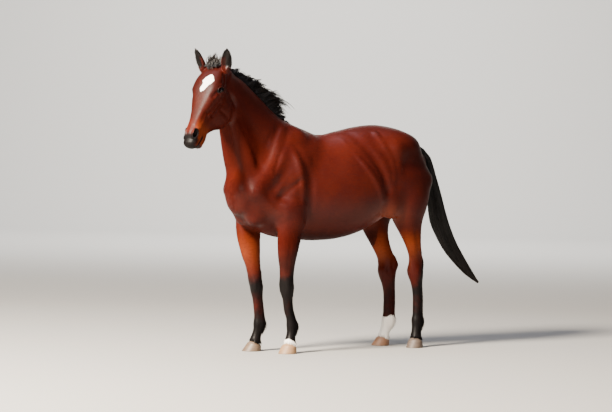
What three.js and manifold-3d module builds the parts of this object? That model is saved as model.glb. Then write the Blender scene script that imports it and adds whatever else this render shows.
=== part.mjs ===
// A bay riding horse standing square with its neck and head turned to its left, at life size.
// Millimetres, +Z up. The horse faces -X and its left side is towards -Y.
// The whole animal is one smooth body, written as a distance field of lofted forms (trunk, neck,
// skull, jaw, four legs) with the large muscles melted in. Each node is meshed from that field on
// its own lattice and parted from its neighbours by thin plane cuts.
import * as THREE from 'three';
import { mergeVertices } from 'three/addons/utils/BufferGeometryUtils.js';
import Module from 'manifold-3d';

const wasm = await Module();
wasm.setup();

// ---------------------------------------------------------------- driving dimensions
const GAP = 0.3;                 // clearance between neighbouring solids
const FACET = 1.5;               // vertices stand this far out, so that flat facets keep the volume
const THIN_FACET = 0.5;          // and this far on ears, hooves and hair, which are meshed finely
const FLOOR = 0;                 // the soles stand here
const WELD = 0.02;               // corners closer than this become one

// lateral bend that turns the neck and head to the left
const TURN = THREE.MathUtils.degToRad(25);
const BEND_START = -700;         // x at the base of the neck where the bend begins
const BEND_LENGTH = 560;         // length of neck over which it is taken up
const BEND_LOW = 1150;           // below this height nothing is turned
const BEND_RISE = 350;           // height over which the turn comes in

// head: its own frame runs down the face (s), to the side (u) and out of the forehead (v)
const POLL = [-1290, 2112];      // top of the head, x and z, before the bend
const FACE_PITCH = THREE.MathUtils.degToRad(32.5);  // face line from the vertical
const EYE = { s: 193, u: 105, v: -54, radius: 24 };
const EAR_ROOT = [17, 98, -38];
const EAR_TIP = [-86, 138, 92];
const EAR_OPENS = [0.35, 0.45, 1.0];
const EAR_WALL = 7;

// neck axis, from the shoulder to the poll, x and z
const NECK_BASE = [-640, 1450];
const NECK_TOP = [-1215, 1985];

// cuts between the nodes
const ELBOW_CUT = 828;           // forelegs leave the trunk at this height
const STIFLE_CUT = 900;          // hind legs leave the thighs at this height
const KNEE_CUT = 560;
const HOCK_CUT = 715;
const HEAD_CUT_TURN = TURN * 0.84; // the cut behind the jaw turns almost as far as the head
const HEAD_CUT_RISE = 0.24;

// Stations of each loft. Trunk: x, top, widest level, bottom, half width, roundness above, below.
const TRUNK = [
  [-950, 1330, 1180, 1020, 150, 2.1, 2.1],
  [-880, 1455, 1195, 955, 190, 2.1, 2.1],
  [-800, 1545, 1215, 908, 212, 2.0, 2.1],
  [-690, 1630, 1230, 868, 226, 1.9, 2.1],
  [-560, 1675, 1225, 843, 234, 1.7, 2.1],
  [-420, 1650, 1205, 830, 248, 1.7, 2.1],
  [-270, 1617, 1190, 824, 268, 1.9, 2.1],
  [-90, 1650, 1190, 836, 286, 2.1, 2.1],
  [90, 1688, 1210, 880, 286, 2.2, 2.1],
  [260, 1705, 1270, 960, 270, 2.2, 2.1],
  [420, 1686, 1310, 1060, 246, 2.1, 2.1],
  [540, 1640, 1340, 1130, 205, 2.0, 2.1],
  [620, 1585, 1370, 1190, 150, 2.0, 2.1],
  [680, 1510, 1390, 1250, 95, 2.0, 2.0],
];
// Neck: distance along its axis, then crest, axis and throat as offsets, half width, roundness.
const NECK = [
  [-120, 290, 0, -325, 200, 2.0, 2.0],
  [60, 248, 0, -300, 172, 1.9, 2.0],
  [240, 226, 0, -262, 140, 1.8, 2.1],
  [420, 214, 0, -154, 114, 1.8, 2.1],
  [600, 192, 0, -62, 94, 1.9, 2.1],
  [760, 150, 0, -62, 80, 2.0, 2.0],
];
// Skull and lower jaw: distance down the face from the poll, front, middle, back, half width.
const SKULL = [
  [10, -6, -60, -130, 84, 2.4, 2.0],
  [60, 12, -55, -140, 97, 2.6, 2.2],
  [120, 26, -48, -150, 110, 2.9, 2.2],
  [180, 28, -48, -150, 117, 3.0, 2.2],
  [225, 22, -52, -150, 115, 3.0, 2.2],
  [290, 10, -55, -140, 95, 2.8, 2.2],
  [380, 0, -55, -125, 70, 2.6, 2.2],
  [460, -6, -58, -120, 58, 2.4, 2.2],
  [530, -8, -62, -122, 60, 2.3, 2.2],
  [580, -14, -66, -124, 64, 2.3, 2.2],
  [625, -34, -76, -124, 58, 2.2, 2.2],
];
const JAW = [
  [110, -60, -140, -246, 80, 2.2, 2.2],
  [160, -60, -155, -322, 98, 2.5, 2.6],
  [220, -60, -165, -356, 106, 2.7, 2.7],
  [290, -60, -162, -354, 102, 2.5, 2.6],
  [350, -60, -150, -322, 88, 2.4, 2.4],
  [400, -60, -132, -262, 71, 2.2, 2.2],
  [480, -70, -118, -196, 56, 2.2, 2.2],
  [540, -80, -120, -198, 54, 2.2, 2.2],
  [595, -90, -124, -188, 50, 2.2, 2.2],
];
// Ear: share of its length, half width, half thickness.
const EAR = [
  [-0.15, 26, 24], [0, 33, 28], [0.25, 40, 27], [0.5, 38, 22], [0.72, 28, 16], [0.9, 15, 10], [1, 7, 6],
];

// Legs: height, centre and half depth along X, centre and half width outwards, roundness.
const FORELEG = [
  [50, -40, 52, 0, 54, 2.1], [92, -29, 43, 0, 44, 2.1], [125, -19, 38, 0, 37, 2.1],
  [165, -3, 42, 0, 38, 2.1], [207, 6, 49, 0, 42, 2.1], [250, 8, 43, 0, 35, 2.2],
  [310, 8, 41, 0, 33, 2.3], [395, 6, 42, 0, 35, 2.3], [440, 2, 47, 0, 48, 2.4],
  [485, 1, 50, 1, 58, 2.4], [525, -3, 52, 2, 57, 2.3], [575, -4, 54, 4, 52, 2.2],
  [640, -4, 62, 8, 52, 2.1], [700, -6, 74, 13, 56, 2.1], [760, -6, 84, 20, 62, 2.1],
  [830, -6, 94, 28, 66, 2.1], [900, 0, 104, 36, 68, 2.1], [980, 10, 114, 42, 70, 2.1],
  [1080, 0, 125, 40, 68, 2.1],
];
const HINDLEG = [
  [50, -40, 51, 0, 52, 2.1], [92, -29, 43, 0, 44, 2.1], [125, -18, 42, 0, 39, 2.1],
  [165, -2, 47, 0, 41, 2.1], [207, 8, 55, 0, 46, 2.1], [250, 10, 49, 0, 39, 2.2],
  [310, 10, 48, 0, 36, 2.3], [430, 9, 49, 0, 37, 2.3], [500, 7, 56, 0, 44, 2.3],
  [550, 4, 66, 0, 54, 2.4], [600, 5, 76, 0, 56, 2.3], [650, 14, 84, 2, 50, 2.0],
  [695, 2, 76, 5, 46, 2.0], [745, -22, 74, 10, 50, 2.0], [820, -56, 84, 20, 60, 2.0],
  [900, -88, 104, 34, 74, 2.0], [980, -110, 130, 44, 90, 2.1], [1080, -112, 164, 48, 104, 2.1],
  [1200, -108, 186, 44, 110, 2.1], [1320, -118, 176, 34, 104, 2.1], [1430, -140, 130, 20, 80, 2.1],
];
// Where each leg's cannon stands: heights with x, and heights with distance from the middle.
const FORE_SPREAD = [[0, 122], [500, 126], [950, 140]];
const HIND_SPREAD = [[0, 110], [600, 112], [1200, 114]];
const LEGS = [
  {
    name: 'foreleg_left', rows: FORELEG, side: -1, spread: FORE_SPREAD, toeOut: 18, untwist: [300, 700],
    line: [[0, -531], [207, -541], [330, -578], [485, -592], [700, -600], [950, -605], [1200, -625]],
    drop: 0, blend: 45, hoof: [74, 67], top: ELBOW_CUT, middle: KNEE_CUT,
  },
  {
    name: 'foreleg_right', rows: FORELEG, side: 1, spread: FORE_SPREAD, toeOut: 18, untwist: [300, 700],
    line: [
      [0, -667], [207, -673], [400, -694], [490, -700], [610, -716], [720, -732], [950, -745], [1200, -735],
    ],
    drop: 0, blend: 45, hoof: [74, 67], top: ELBOW_CUT, middle: KNEE_CUT,
  },
  {
    name: 'hindleg_left', rows: HINDLEG, side: -1, spread: HIND_SPREAD, toeOut: 22, untwist: [650, 1000],
    line: [[0, 642], [207, 625], [400, 622], [600, 596], [1200, 594]],
    drop: 0, blend: 60, hoof: [72, 63], top: STIFLE_CUT, middle: HOCK_CUT,
  },
  {
    name: 'hindleg_right', rows: HINDLEG, side: 1, spread: HIND_SPREAD, toeOut: 22, untwist: [650, 1000],
    line: [[0, 509], [207, 505], [400, 507], [600, 487], [900, 500], [1200, 560]],
    drop: 24, blend: 60, hoof: [72, 63], top: STIFLE_CUT, middle: HOCK_CUT,
  },
];
const LEG_END = 12;              // depth of a leg's rounded end inside the hoof
const LEG_ROOT = 60;             // and of the one inside the trunk
const HOOF_TOE = -58;            // middle of the sole ahead of the cannon
const HOOF_LEAN = 29;            // how far the wall carries its middle back over its height
const HOOF_HEIGHT = 80;
const CORONET = [44, 50];        // half length and half width under the hair line
const CORONET_LEVEL = 66;        // height of the hair line over the middle
const CORONET_SLOPE = 0.28;      // it falls towards the heel

// Large muscles as tapered straps: ends, end radii, how softly they melt in. Both sides.
const STRAPS = [
  [[-500, 70, 1590], [-800, 150, 1330], 55, 62, 60],    // shoulder blade
  [[-700, 128, 1440], [-905, 158, 1200], 60, 62, 55],   // down to the point of the shoulder
  [[-560, 120, 1400], [-610, 160, 1060], 95, 78, 60],   // triceps
  [[-905, 150, 1190], [-690, 165, 1040], 58, 66, 50],   // upper arm
  [[-945, 80, 1200], [-850, 80, 1010], 66, 70, 40],     // breast
  [[-900, 110, 1280], [-1110, 46, 1770], 62, 36, 70],   // arm and head muscle up the neck
  [[320, 205, 1520], [330, 175, 1230], 42, 60, 60],     // hip to stifle
  [[520, 95, 1530], [630, 120, 1290], 62, 90, 60],      // seat to thigh
];
// Rounder muscles as ellipsoids: centre, radii, how softly they melt in.
const BALLS = [
  [[360, 120, 1530], [230, 130, 130], 60],              // croup
  [[290, 205, 1110], [90, 62, 120], 55],                // stifle
  [[-590, 178, 985], [52, 42, 70], 40],                 // elbow
];

// Mane: distance along the neck, height of the crest it grows on, how far the locks stand off it.
const MANE = [
  [20, 258, 20], [90, 247, 40], [170, 236, 52], [245, 226, 92], [310, 221, 142], [400, 215, 162],
  [480, 208, 150], [590, 194, 112], [720, 162, 78], [835, 112, 58],
];
const MANE_THICK = 27;              // half thickness at the root
const MANE_ROOT = 34;               // depth of the root under the crest line
const MANE_LEAN = 0.3;              // sideways share of the rise at MANE_FALL above the crest
const MANE_FALL = 110;
const MANE_SWEEP = 0.35;            // share of the rise by which the tips lie back
const MANE_SCALLOP = [0.13, 88];    // share and length of the locks along its edge
// Forelock: where it starts and ends along the face, its half sizes there, how high it starts over the
// forehead and how far it is swept back.
const FORELOCK = { root: 34, tip: -74, width: 46, tipWidth: 18, depth: 24, tipDepth: 14, lift: 6, sweep: -8 };
// Tail: x, y, z of its middle and its radius, from the dock to the tip.
const TAIL = [
  [630, 0, 1568, 40], [705, -6, 1520, 48], [758, -12, 1440, 52], [786, -18, 1345, 54],
  [812, -22, 1240, 60], [842, -28, 1120, 70], [872, -32, 985, 80], [930, -38, 860, 74], [985, -42, 765, 66],
  [1045, -48, 690, 56], [1105, -52, 622, 46], [1180, -58, 545, 34], [1255, -62, 480, 12],
];
const TAIL_FLAT = 0.75;          // its width is this share of its depth
const TAIL_RINGS = 24;
const TAIL_SIDES = 8;

// ---------------------------------------------------------------- curves and blends
// A smooth curve through rows of [knot, value]; outside them it keeps the end values.
function curve(rows, column = 1) {
  const knots = rows.map((row) => row[0]);
  const values = rows.map((row) => row[column]);
  const last = knots.length - 1;
  const slopes = values.map((_, i) => (i === 0 || i === last
    ? 0 : (values[i + 1] - values[i - 1]) / (knots[i + 1] - knots[i - 1])));
  return (at) => {
    const s = Math.min(Math.max(at, knots[0]), knots[last]);
    let i = 0;
    while (i < last - 1 && s >= knots[i + 1]) i += 1;
    const h = knots[i + 1] - knots[i];
    const t = (s - knots[i]) / h;
    const t2 = t * t;
    const t3 = t2 * t;
    return (2 * t3 - 3 * t2 + 1) * values[i] + (t3 - 2 * t2 + t) * h * slopes[i]
      + (3 * t2 - 2 * t3) * values[i + 1] + (t3 - t2) * h * slopes[i + 1];
  };
}

const clamp = THREE.MathUtils.clamp;
const smoothstep = THREE.MathUtils.smoothstep;

// smooth union and smooth cut of two distances
function melt(a, b, k) {
  const h = clamp(0.5 + 0.5 * (b - a) / k, 0, 1);
  return b + (a - b) * h - k * h * (1 - h);
}
const carve = (a, b, k) => -melt(-a, -b, k);

// distance to a superellipse section with a rounded end: over is how far past the end, endLength its depth
function sectionDistance(across, halfAcross, along, halfAlong, roundness, over, endLength) {
  const a = Math.abs(across) / halfAcross;
  const b = Math.abs(along) / halfAlong;
  const o = over / endLength;
  const q = a ** roundness + b ** roundness + 1e-9;
  const rho = Math.sqrt(q ** (2 / roundness) + o * o);
  const g = q ** (2 / roundness - 1) / rho;
  const slope = Math.hypot(
    g * a ** (roundness - 1) / halfAcross,
    g * b ** (roundness - 1) / halfAlong,
    o / rho / endLength,
  );
  return (rho - 1) / (slope + 2e-4);
}

// a loft through stations; local coordinates are along, across and up
function loft(stations, endStart, endEnd) {
  const [top, middle, bottom, width, roundTop, roundLow] = [1, 2, 3, 4, 5, 6].map((c) => curve(stations, c));
  const first = stations[0][0];
  const last = stations[stations.length - 1][0];
  return (s, u, v) => {
    const mid = middle(s);
    const above = v > mid;
    const half = above ? top(s) - mid : mid - bottom(s);
    const over = s < first ? first - s : Math.max(s - last, 0);
    const roundness = above ? roundTop(s) : roundLow(s);
    return sectionDistance(u, width(s), v - mid, half, roundness, over, s < first ? endStart : endEnd);
  };
}

// ---------------------------------------------------------------- frames
const faceSin = Math.sin(FACE_PITCH);
const faceCos = Math.cos(FACE_PITCH);
const toHead = (x, z) => {
  const dx = x - POLL[0];
  const dz = z - POLL[1];
  return [-dx * faceSin - dz * faceCos, -dx * faceCos + dz * faceSin];
};
const fromHead = (s, u, v) => [POLL[0] - s * faceSin - v * faceCos, u, POLL[1] - s * faceCos + v * faceSin];

const neckLength = Math.hypot(NECK_TOP[0] - NECK_BASE[0], NECK_TOP[1] - NECK_BASE[1]);
const neckAlong = [(NECK_TOP[0] - NECK_BASE[0]) / neckLength, (NECK_TOP[1] - NECK_BASE[1]) / neckLength];
const neckCrest = [neckAlong[1], -neckAlong[0]];
const fromNeck = (along, side, crest) => [
  NECK_BASE[0] + along * neckAlong[0] + crest * neckCrest[0], side,
  NECK_BASE[1] + along * neckAlong[1] + crest * neckCrest[1],
];
const toNeck = (x, z) => {
  const dx = x - NECK_BASE[0];
  const dz = z - NECK_BASE[1];
  return [dx * neckAlong[0] + dz * neckAlong[1], dx * neckCrest[0] + dz * neckCrest[1]];
};

// straight pose to the turned pose: the neck follows an arc about a vertical axis, then runs on straight
function bend(x, y, z) {
  const turn = TURN * smoothstep(z, BEND_LOW, BEND_LOW + BEND_RISE);
  const s = BEND_START - x;
  if (s <= 0 || turn < 1e-5) return [x, y, z];
  const radius = BEND_LENGTH / turn;
  const angle = Math.min(s, BEND_LENGTH) / radius;
  const over = Math.max(s - BEND_LENGTH, 0);
  const forward = (radius + y) * Math.sin(angle) + over * Math.cos(angle);
  const aside = radius - (radius + y) * Math.cos(angle) + over * Math.sin(angle);
  return [BEND_START - forward, -aside, z];
}

// ---------------------------------------------------------------- body forms
const trunk = loft(TRUNK, 62, 60);
const neck = loft(NECK, 150, 60);
const skull = loft(SKULL, 55, 44);
const jaw = loft(JAW, 40, 30);

function strapDistance(x, y, z, [from, to, r0, r1]) {
  const d = to.map((v, i) => v - from[i]);
  const t = clamp(((x - from[0]) * d[0] + (y - from[1]) * d[1] + (z - from[2]) * d[2])
    / (d[0] ** 2 + d[1] ** 2 + d[2] ** 2), 0, 1);
  const off = [x, y, z].map((c, i) => c - from[i] - t * d[i]);
  return Math.hypot(...off) - (r0 + (r1 - r0) * t);
}

function ballDistance(x, y, z, [centre, radii]) {
  const p = [(x - centre[0]) / radii[0], (y - centre[1]) / radii[1], (z - centre[2]) / radii[2]];
  const k = Math.hypot(...p) + 1e-9;
  return k * (k - 1) / (Math.hypot(p[0] / radii[0], p[1] / radii[1], p[2] / radii[2]) + 1e-9);
}

// each leg gets functions for its local frame, its flesh and its hoof
for (const leg of LEGS) {
  const standX = curve(leg.line);
  const standY = curve(leg.spread);
  const [centreX, halfX, centreY, halfY, roundness] = [1, 2, 3, 4, 5].map((c) => curve(leg.rows, c));
  const low = leg.rows[0][0];
  const high = leg.rows[leg.rows.length - 1][0];
  const turned = THREE.MathUtils.degToRad(leg.toeOut);
  leg.local = (x, y, z) => {
    const twist = turned * (1 - smoothstep(z, leg.untwist[0], leg.untwist[1]));
    const u = x - standX(z);
    const v = leg.side * y - standY(z);
    return [u * Math.cos(twist) - v * Math.sin(twist), v * Math.cos(twist) + u * Math.sin(twist)];
  };
  leg.flesh = (x, y, z) => {
    const [u, v] = leg.local(x, y, z);
    const level = z + leg.drop * clamp(z / 600, 0, 1);
    const over = level < low ? low - level : Math.max(level - high, 0);
    const [forward, aside] = [u - centreX(level), v - centreY(level)];
    const end = level < low ? LEG_END : LEG_ROOT;
    return sectionDistance(forward, halfX(level), aside, halfY(level), roundness(level), over, end);
  };
  leg.horn = (x, y, z) => {
    const [u, v] = leg.local(x, y, z);
    const t = clamp(z, -30, 90) / HOOF_HEIGHT;
    const halfLength = leg.hoof[0] + (CORONET[0] - leg.hoof[0]) * t;
    const halfWidth = leg.hoof[1] + (CORONET[1] - leg.hoof[1]) * t;
    return sectionDistance(u - HOOF_TOE - HOOF_LEAN * t, halfLength, v, halfWidth, 2, 0, 1);
  };
  // a point on the hair line, in the turned leg's frame, and the way that plane faces
  const hairLine = CORONET_LEVEL - CORONET_SLOPE * HOOF_LEAN;
  leg.coronetPoint = [standX(CORONET_LEVEL), leg.side * standY(CORONET_LEVEL), hairLine];
  leg.coronetFaces = [CORONET_SLOPE * Math.cos(turned), leg.side * -CORONET_SLOPE * Math.sin(turned), 1];
}

// ear, in the head's frame
const earAxis = new THREE.Vector3(...EAR_TIP).sub(new THREE.Vector3(...EAR_ROOT));
const earLength = earAxis.length();
earAxis.normalize();
const earFront = new THREE.Vector3(...EAR_OPENS).normalize();
earFront.addScaledVector(earAxis, -earFront.dot(earAxis)).normalize();
const earSide = new THREE.Vector3().crossVectors(earAxis, earFront);
const [earWidth, earDepth] = [1, 2].map((c) => curve(EAR, c));

// across the ear, out of its opening, and up its length from the root
function earDistance(across, front, up) {
  const t = up / earLength;
  const width = earWidth(t);
  const depth = earDepth(t);
  const over = Math.max(t - 1, EAR[0][0] - t, 0) * earLength;
  const leaf = sectionDistance(across, width, front, depth, 2, over, 10);
  const bowl = sectionDistance(across, Math.max(width - EAR_WALL, 2), front - depth * 1.1, depth, 2, 0, 1)
    + Math.max(0.15 - t, t - 0.85, 0) * earLength;
  return carve(leaf, -bowl, 6);
}
const fromEar = (across, front, up) => new THREE.Vector3(...EAR_ROOT)
  .addScaledVector(earSide, across)
  .addScaledVector(earFront, front)
  .addScaledVector(earAxis, up)
  .toArray();

// the whole body without ears and hooves
function body(x, y, z) {
  const side = Math.abs(y);
  let f = trunk(x, side, z);
  for (const strap of STRAPS) f = melt(f, strapDistance(x, side, z, strap), strap[4]);
  for (const ball of BALLS) f = melt(f, ballDistance(x, side, z, ball), ball[2]);
  const [along, crest] = toNeck(x, z);
  f = melt(f, neck(along, side, crest), 90);
  const [s, v] = toHead(x, z);
  f = melt(f, melt(skull(s, side, v), jaw(s, side, v), 22), 26);
  for (const leg of LEGS) f = melt(f, leg.flesh(x, y, z), leg.blend);
  return f;
}

// ---------------------------------------------------------------- hair forms
const [crestLine, maneReach] = [1, 2].map((c) => curve(MANE, c));
// the mane as it would stand straight up from the crest
function maneDistance(along, side, crest) {
  const climb = crest - crestLine(along) + MANE_ROOT;
  const [share, length] = MANE_SCALLOP;
  const reach = MANE_ROOT + maneReach(along) * (1 + share * Math.sin((2 * Math.PI * along) / length));
  const rooted = 0.3 + 0.7 * smoothstep(climb, 0, MANE_ROOT);
  const thick = MANE_THICK * rooted * (1 - 0.5 * clamp(climb / reach, 0, 1));
  const ends = Math.max(MANE[0][0] - along, along - MANE[MANE.length - 1][0], 0);
  return Math.hypot(Math.max(-climb, climb - reach, 0), side, ends) - thick;
}
// and as it lies: leaning over to the right side and blown back towards the withers
function maneLies(along, side, crest) {
  const rise = Math.max(crest - crestLine(along), 0);
  const lean = (MANE_LEAN * rise * rise) / MANE_FALL;
  return bend(...fromNeck(along - MANE_SWEEP * rise, side + lean, crest));
}

// forelock: a tuft that stands up between the ears and spreads over the top of the forehead
function forelockDistance(s, u, v) {
  const { root, tip, width, tipWidth, depth, tipDepth, lift, sweep } = FORELOCK;
  const t = clamp((root - s) / (root - tip), 0, 1);
  const halfWidth = width + (tipWidth - width) * t;
  const halfDepth = depth + (tipDepth - depth) * t * t;
  const over = Math.max(s - root, tip - s, 0);
  return sectionDistance(u, halfWidth, v - lift + sweep * t, halfDepth, 2, over, tipDepth);
}

// ---------------------------------------------------------------- meshing
const lattice = (...spans) => {
  const points = [];
  for (const [from, to, step] of spans) {
    const count = Math.max(1, Math.round((to - from) / step));
    for (let i = 0; i < count; i += 1) points.push(from + ((to - from) * i) / count);
  }
  points.push(spans[spans.length - 1][1]);
  return points;
};

// pulls a point onto the field's zero and then out by offset
function settle(field, p, offset) {
  const e = 0.5;
  for (let round = 0; round < 4; round += 1) {
    const f = field(...p) - offset;
    const g = [0, 1, 2].map((i) => {
      const q = [...p];
      q[i] += e;
      return (field(...q) - offset - f) / e;
    });
    const g2 = g[0] ** 2 + g[1] ** 2 + g[2] ** 2 + 1e-6;
    const step = clamp(-f / g2, -14, 14);
    for (let i = 0; i < 3; i += 1) p[i] += g[i] * step;
  }
  return p;
}

// Surface nets: one vertex in each lattice cell that the surface crosses, and one quad for each crossed
// edge. The field is closed off at the edge of the lattice, so the result is always a closed mesh.
function meshField(field, xs, ys, zs, { offset = FACET, pose = bend } = {}) {
  const size = [xs.length, ys.length, zs.length];
  const axes = [xs, ys, zs];
  const at = (i, j, k) => (i * size[1] + j) * size[2] + k;
  const inner = (i, n) => i > 0 && i < n - 1;
  const values = new Float64Array(size[0] * size[1] * size[2]);
  for (let i = 0; i < size[0]; i += 1) {
    for (let j = 0; j < size[1]; j += 1) {
      for (let k = 0; k < size[2]; k += 1) {
        const inside = inner(i, size[0]) && inner(j, size[1]) && inner(k, size[2]);
        const f = field(xs[i], ys[j], zs[k]);
        values[at(i, j, k)] = inside ? f : Math.max(f, 1);
      }
    }
  }
  const cells = new Map();
  const vertices = [];
  const weights = [];
  const cellVertex = (i, j, k, p) => {
    const key = at(i, j, k);
    if (!cells.has(key)) {
      cells.set(key, vertices.length);
      vertices.push([0, 0, 0]);
      weights.push(0);
    }
    const n = cells.get(key);
    p.forEach((c, d) => { vertices[n][d] += c; });
    weights[n] += 1;
    return n;
  };
  const quads = [];
  for (let axis = 0; axis < 3; axis += 1) {
    const [b, c] = [(axis + 1) % 3, (axis + 2) % 3];
    for (let i = 0; i < size[0]; i += 1) {
      for (let j = 0; j < size[1]; j += 1) {
        for (let k = 0; k < size[2]; k += 1) {
          const low = [i, j, k];
          const high = [...low];
          high[axis] += 1;
          if (high[axis] >= size[axis]) continue;
          const [f0, f1] = [values[at(...low)], values[at(...high)]];
          if ((f0 < 0) === (f1 < 0)) continue;
          const p = low.map((n, d) => axes[d][n] + (axes[d][high[d]] - axes[d][n]) * (f0 / (f0 - f1)));
          const ring = [[0, 0], [1, 0], [1, 1], [0, 1]].map(([db, dc]) => {
            const cell = [...low];
            cell[b] -= db;
            cell[c] -= dc;
            return cellVertex(...cell, p);
          });
          quads.push(f0 < 0 ? ring : ring.reverse());
        }
      }
    }
  }
  vertices.forEach((v, n) => v.forEach((_, d) => { v[d] /= weights[n]; }));
  const placed = vertices.map((v) => {
    const p = settle(field, v, offset);
    p.forEach((_, d) => { p[d] = clamp(p[d], axes[d][0], axes[d][size[d] - 1]); });
    return pose(...p);
  });
  const triangles = [];
  for (const [a, b, c, d] of quads) {
    const span = (m, n) => Math.hypot(...placed[m].map((v, i) => v - placed[n][i]));
    if (span(a, c) <= span(b, d)) triangles.push(a, b, c, a, c, d);
    else triangles.push(a, b, d, b, c, d);
  }
  // a left-handed frame turns the mesh inside out, so the triangles are turned back
  const flipped = new THREE.Vector3();
  let volume = 0;
  for (let n = 0; n < triangles.length; n += 3) {
    const [a, b, c] = [0, 1, 2].map((m) => new THREE.Vector3(...placed[triangles[n + m]]));
    volume += a.dot(flipped.crossVectors(b, c));
  }
  if (volume < 0) triangles.reverse();
  return new wasm.Manifold(new wasm.Mesh({
    numProp: 3, vertProperties: new Float32Array(placed.flat()), triVerts: new Uint32Array(triangles),
  }));
}

// a three.js geometry as a solid
function solidOf(geometry) {
  geometry.deleteAttribute('normal');
  geometry.deleteAttribute('uv');
  const merged = mergeVertices(geometry, 1e-4);
  return new wasm.Manifold(new wasm.Mesh({
    numProp: 3,
    vertProperties: merged.attributes.position.array,
    triVerts: new Uint32Array(merged.index.array),
  }));
}

// rings of flattened section along a smooth path through rows of [x, y, z, radius], closed at both ends
function sweepSolid(rows, flat, steps, sides) {
  const path = new THREE.CatmullRomCurve3(rows.map(([x, y, z]) => new THREE.Vector3(x, y, z)));
  const radius = curve(rows.map((row, i) => [i / (rows.length - 1), row[3]]));
  const positions = [];
  const triangles = [];
  for (let i = 0; i <= steps; i += 1) {
    const t = i / steps;
    const centre = path.getPoint(t);
    const along = path.getTangent(t);
    const aside = new THREE.Vector3(0, 1, 0).addScaledVector(along, -along.y).normalize();
    const out = new THREE.Vector3().crossVectors(along, aside);
    for (let k = 0; k < sides; k += 1) {
      const angle = (2 * Math.PI * k) / sides;
      const p = centre.clone().addScaledVector(out, radius(t) * Math.cos(angle));
      positions.push(...p.addScaledVector(aside, radius(t) * flat * Math.sin(angle)).toArray());
      if (i === steps) continue;
      const [a, b] = [i * sides + k, i * sides + ((k + 1) % sides)];
      triangles.push(a, b + sides, b, a, a + sides, b + sides);
    }
  }
  const tip = steps * sides;
  for (let k = 1; k < sides - 1; k += 1) {
    triangles.push(0, k, k + 1);
    triangles.push(tip, tip + k + 1, tip + k);
  }
  const solid = new wasm.Manifold(new wasm.Mesh({
    numProp: 3, vertProperties: new Float32Array(positions), triVerts: new Uint32Array(triangles),
  }));
  if (solid.volume() > 0) return solid;
  return new wasm.Manifold(new wasm.Mesh({
    numProp: 3, vertProperties: new Float32Array(positions), triVerts: new Uint32Array(triangles.reverse()),
  }));
}

// everything on the side of a plane that faces along the normal, moved off it by half the gap
const BLOCK = 4000;
function sideOf(point, normal) {
  const facing = new THREE.Vector3(...normal).normalize();
  const block = new THREE.BoxGeometry(BLOCK, BLOCK, BLOCK).translate(0, 0, BLOCK / 2 + GAP / 2);
  block.applyQuaternion(new THREE.Quaternion().setFromUnitVectors(new THREE.Vector3(0, 0, 1), facing));
  return solidOf(block.translate(...point));
}
const away = (normal) => normal.map((n) => -n);

// ---------------------------------------------------------------- nodes
const nodes = [];
const addNode = (name, solid, colour, roughness) => nodes.push({ name, solid, colour, roughness });

const BAY = '#7b3120';
const BLACK = '#191414';
const HOOF_COLOUR = {
  foreleg_left: '#a98a6c', foreleg_right: '#6f5543', hindleg_left: '#6a5a50', hindleg_right: '#a5815f',
};

// planes of the cuts: behind the jaw and ears, and across the base of the neck
const headCut = {
  point: bend(-1160, 0, 1950),
  facing: [-Math.cos(HEAD_CUT_TURN), -Math.sin(HEAD_CUT_TURN), HEAD_CUT_RISE],
};
const neckCut = { point: [-760, 0, 1545], facing: [-0.587, 0, 0.81] };

const headLattice = [
  lattice([-1730, -1530, 25], [-1530, -1060, 32]),
  lattice([-154, 154, 28]),
  lattice([1400, 1600, 27], [1600, 2190, 33]),
];
const neckLattice = [lattice([-1330, -480, 62]), lattice([-260, 260, 52]), lattice([1200, 2200, 64])];
const trunkLattice = [
  lattice([-1060, -560, 70], [-560, 300, 100], [300, 800, 70]),
  lattice([-364, 364, 66]),
  lattice([720, 1760, 74]),
];

const headWhole = meshField(body, ...headLattice);
const headAround = meshField(body, ...headLattice, { offset: FACET + 2 * GAP });
const neckAround = meshField(body, ...neckLattice, { offset: FACET + 2 * GAP });
const trunkAround = meshField(body, ...trunkLattice, { offset: FACET + 2 * GAP });

const eyeSolid = (side, grow) => {
  const [x, y, z] = fromHead(EYE.s, side * EYE.u, EYE.v);
  return solidOf(new THREE.SphereGeometry(EYE.radius + grow, 10, 7).translate(...bend(x, y, z)));
};
const SIDES = [['left', -1], ['right', 1]];

let head = headWhole.intersect(sideOf(headCut.point, headCut.facing));
for (const [, side] of SIDES) head = head.subtract(eyeSolid(side, 2 * GAP));
addNode('head', head, BAY, 0.5);
addNode('neck', meshField(body, ...neckLattice)
  .intersect(sideOf(headCut.point, away(headCut.facing)))
  .intersect(sideOf(neckCut.point, neckCut.facing)), BAY, 0.5);

// the trunk keeps the thighs and shoulders; boxes under it leave the legs room
const FORELEG_ROOM = [-1100, -470];
const HINDLEG_ROOM = [200, 900];
const boxSolid = (x0, x1, z0, z1) => solidOf(new THREE.BoxGeometry(x1 - x0, BLOCK / 2, z1 - z0)
  .translate((x0 + x1) / 2, 0, (z0 + z1) / 2));
const trunkSolid = meshField(body, ...trunkLattice)
  .intersect(sideOf(neckCut.point, away(neckCut.facing)))
  .subtract(boxSolid(...FORELEG_ROOM, FLOOR, ELBOW_CUT + GAP / 2))
  .subtract(boxSolid(...HINDLEG_ROOM, FLOOR, STIFLE_CUT + GAP / 2));
addNode('trunk', trunkSolid, BAY, 0.5);

const earLattice = [lattice([-56, 56, 16]), lattice([-42, 42, 14]), lattice([-45, 245, 29])];
for (const [sideName, side] of SIDES) {
  addNode(`eye_${sideName}`, eyeSolid(side, 0), '#1d0f0a', 0.15);
  const earPose = (across, front, up) => {
    const [headS, headU, headV] = fromEar(side * across, front, up);
    return bend(...fromHead(headS, side * headU, headV));
  };
  const earSolid = meshField(earDistance, ...earLattice, { offset: THIN_FACET, pose: earPose });
  addNode(`ear_${sideName}`, earSolid.subtract(headAround), BLACK, 0.7);
}

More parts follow.
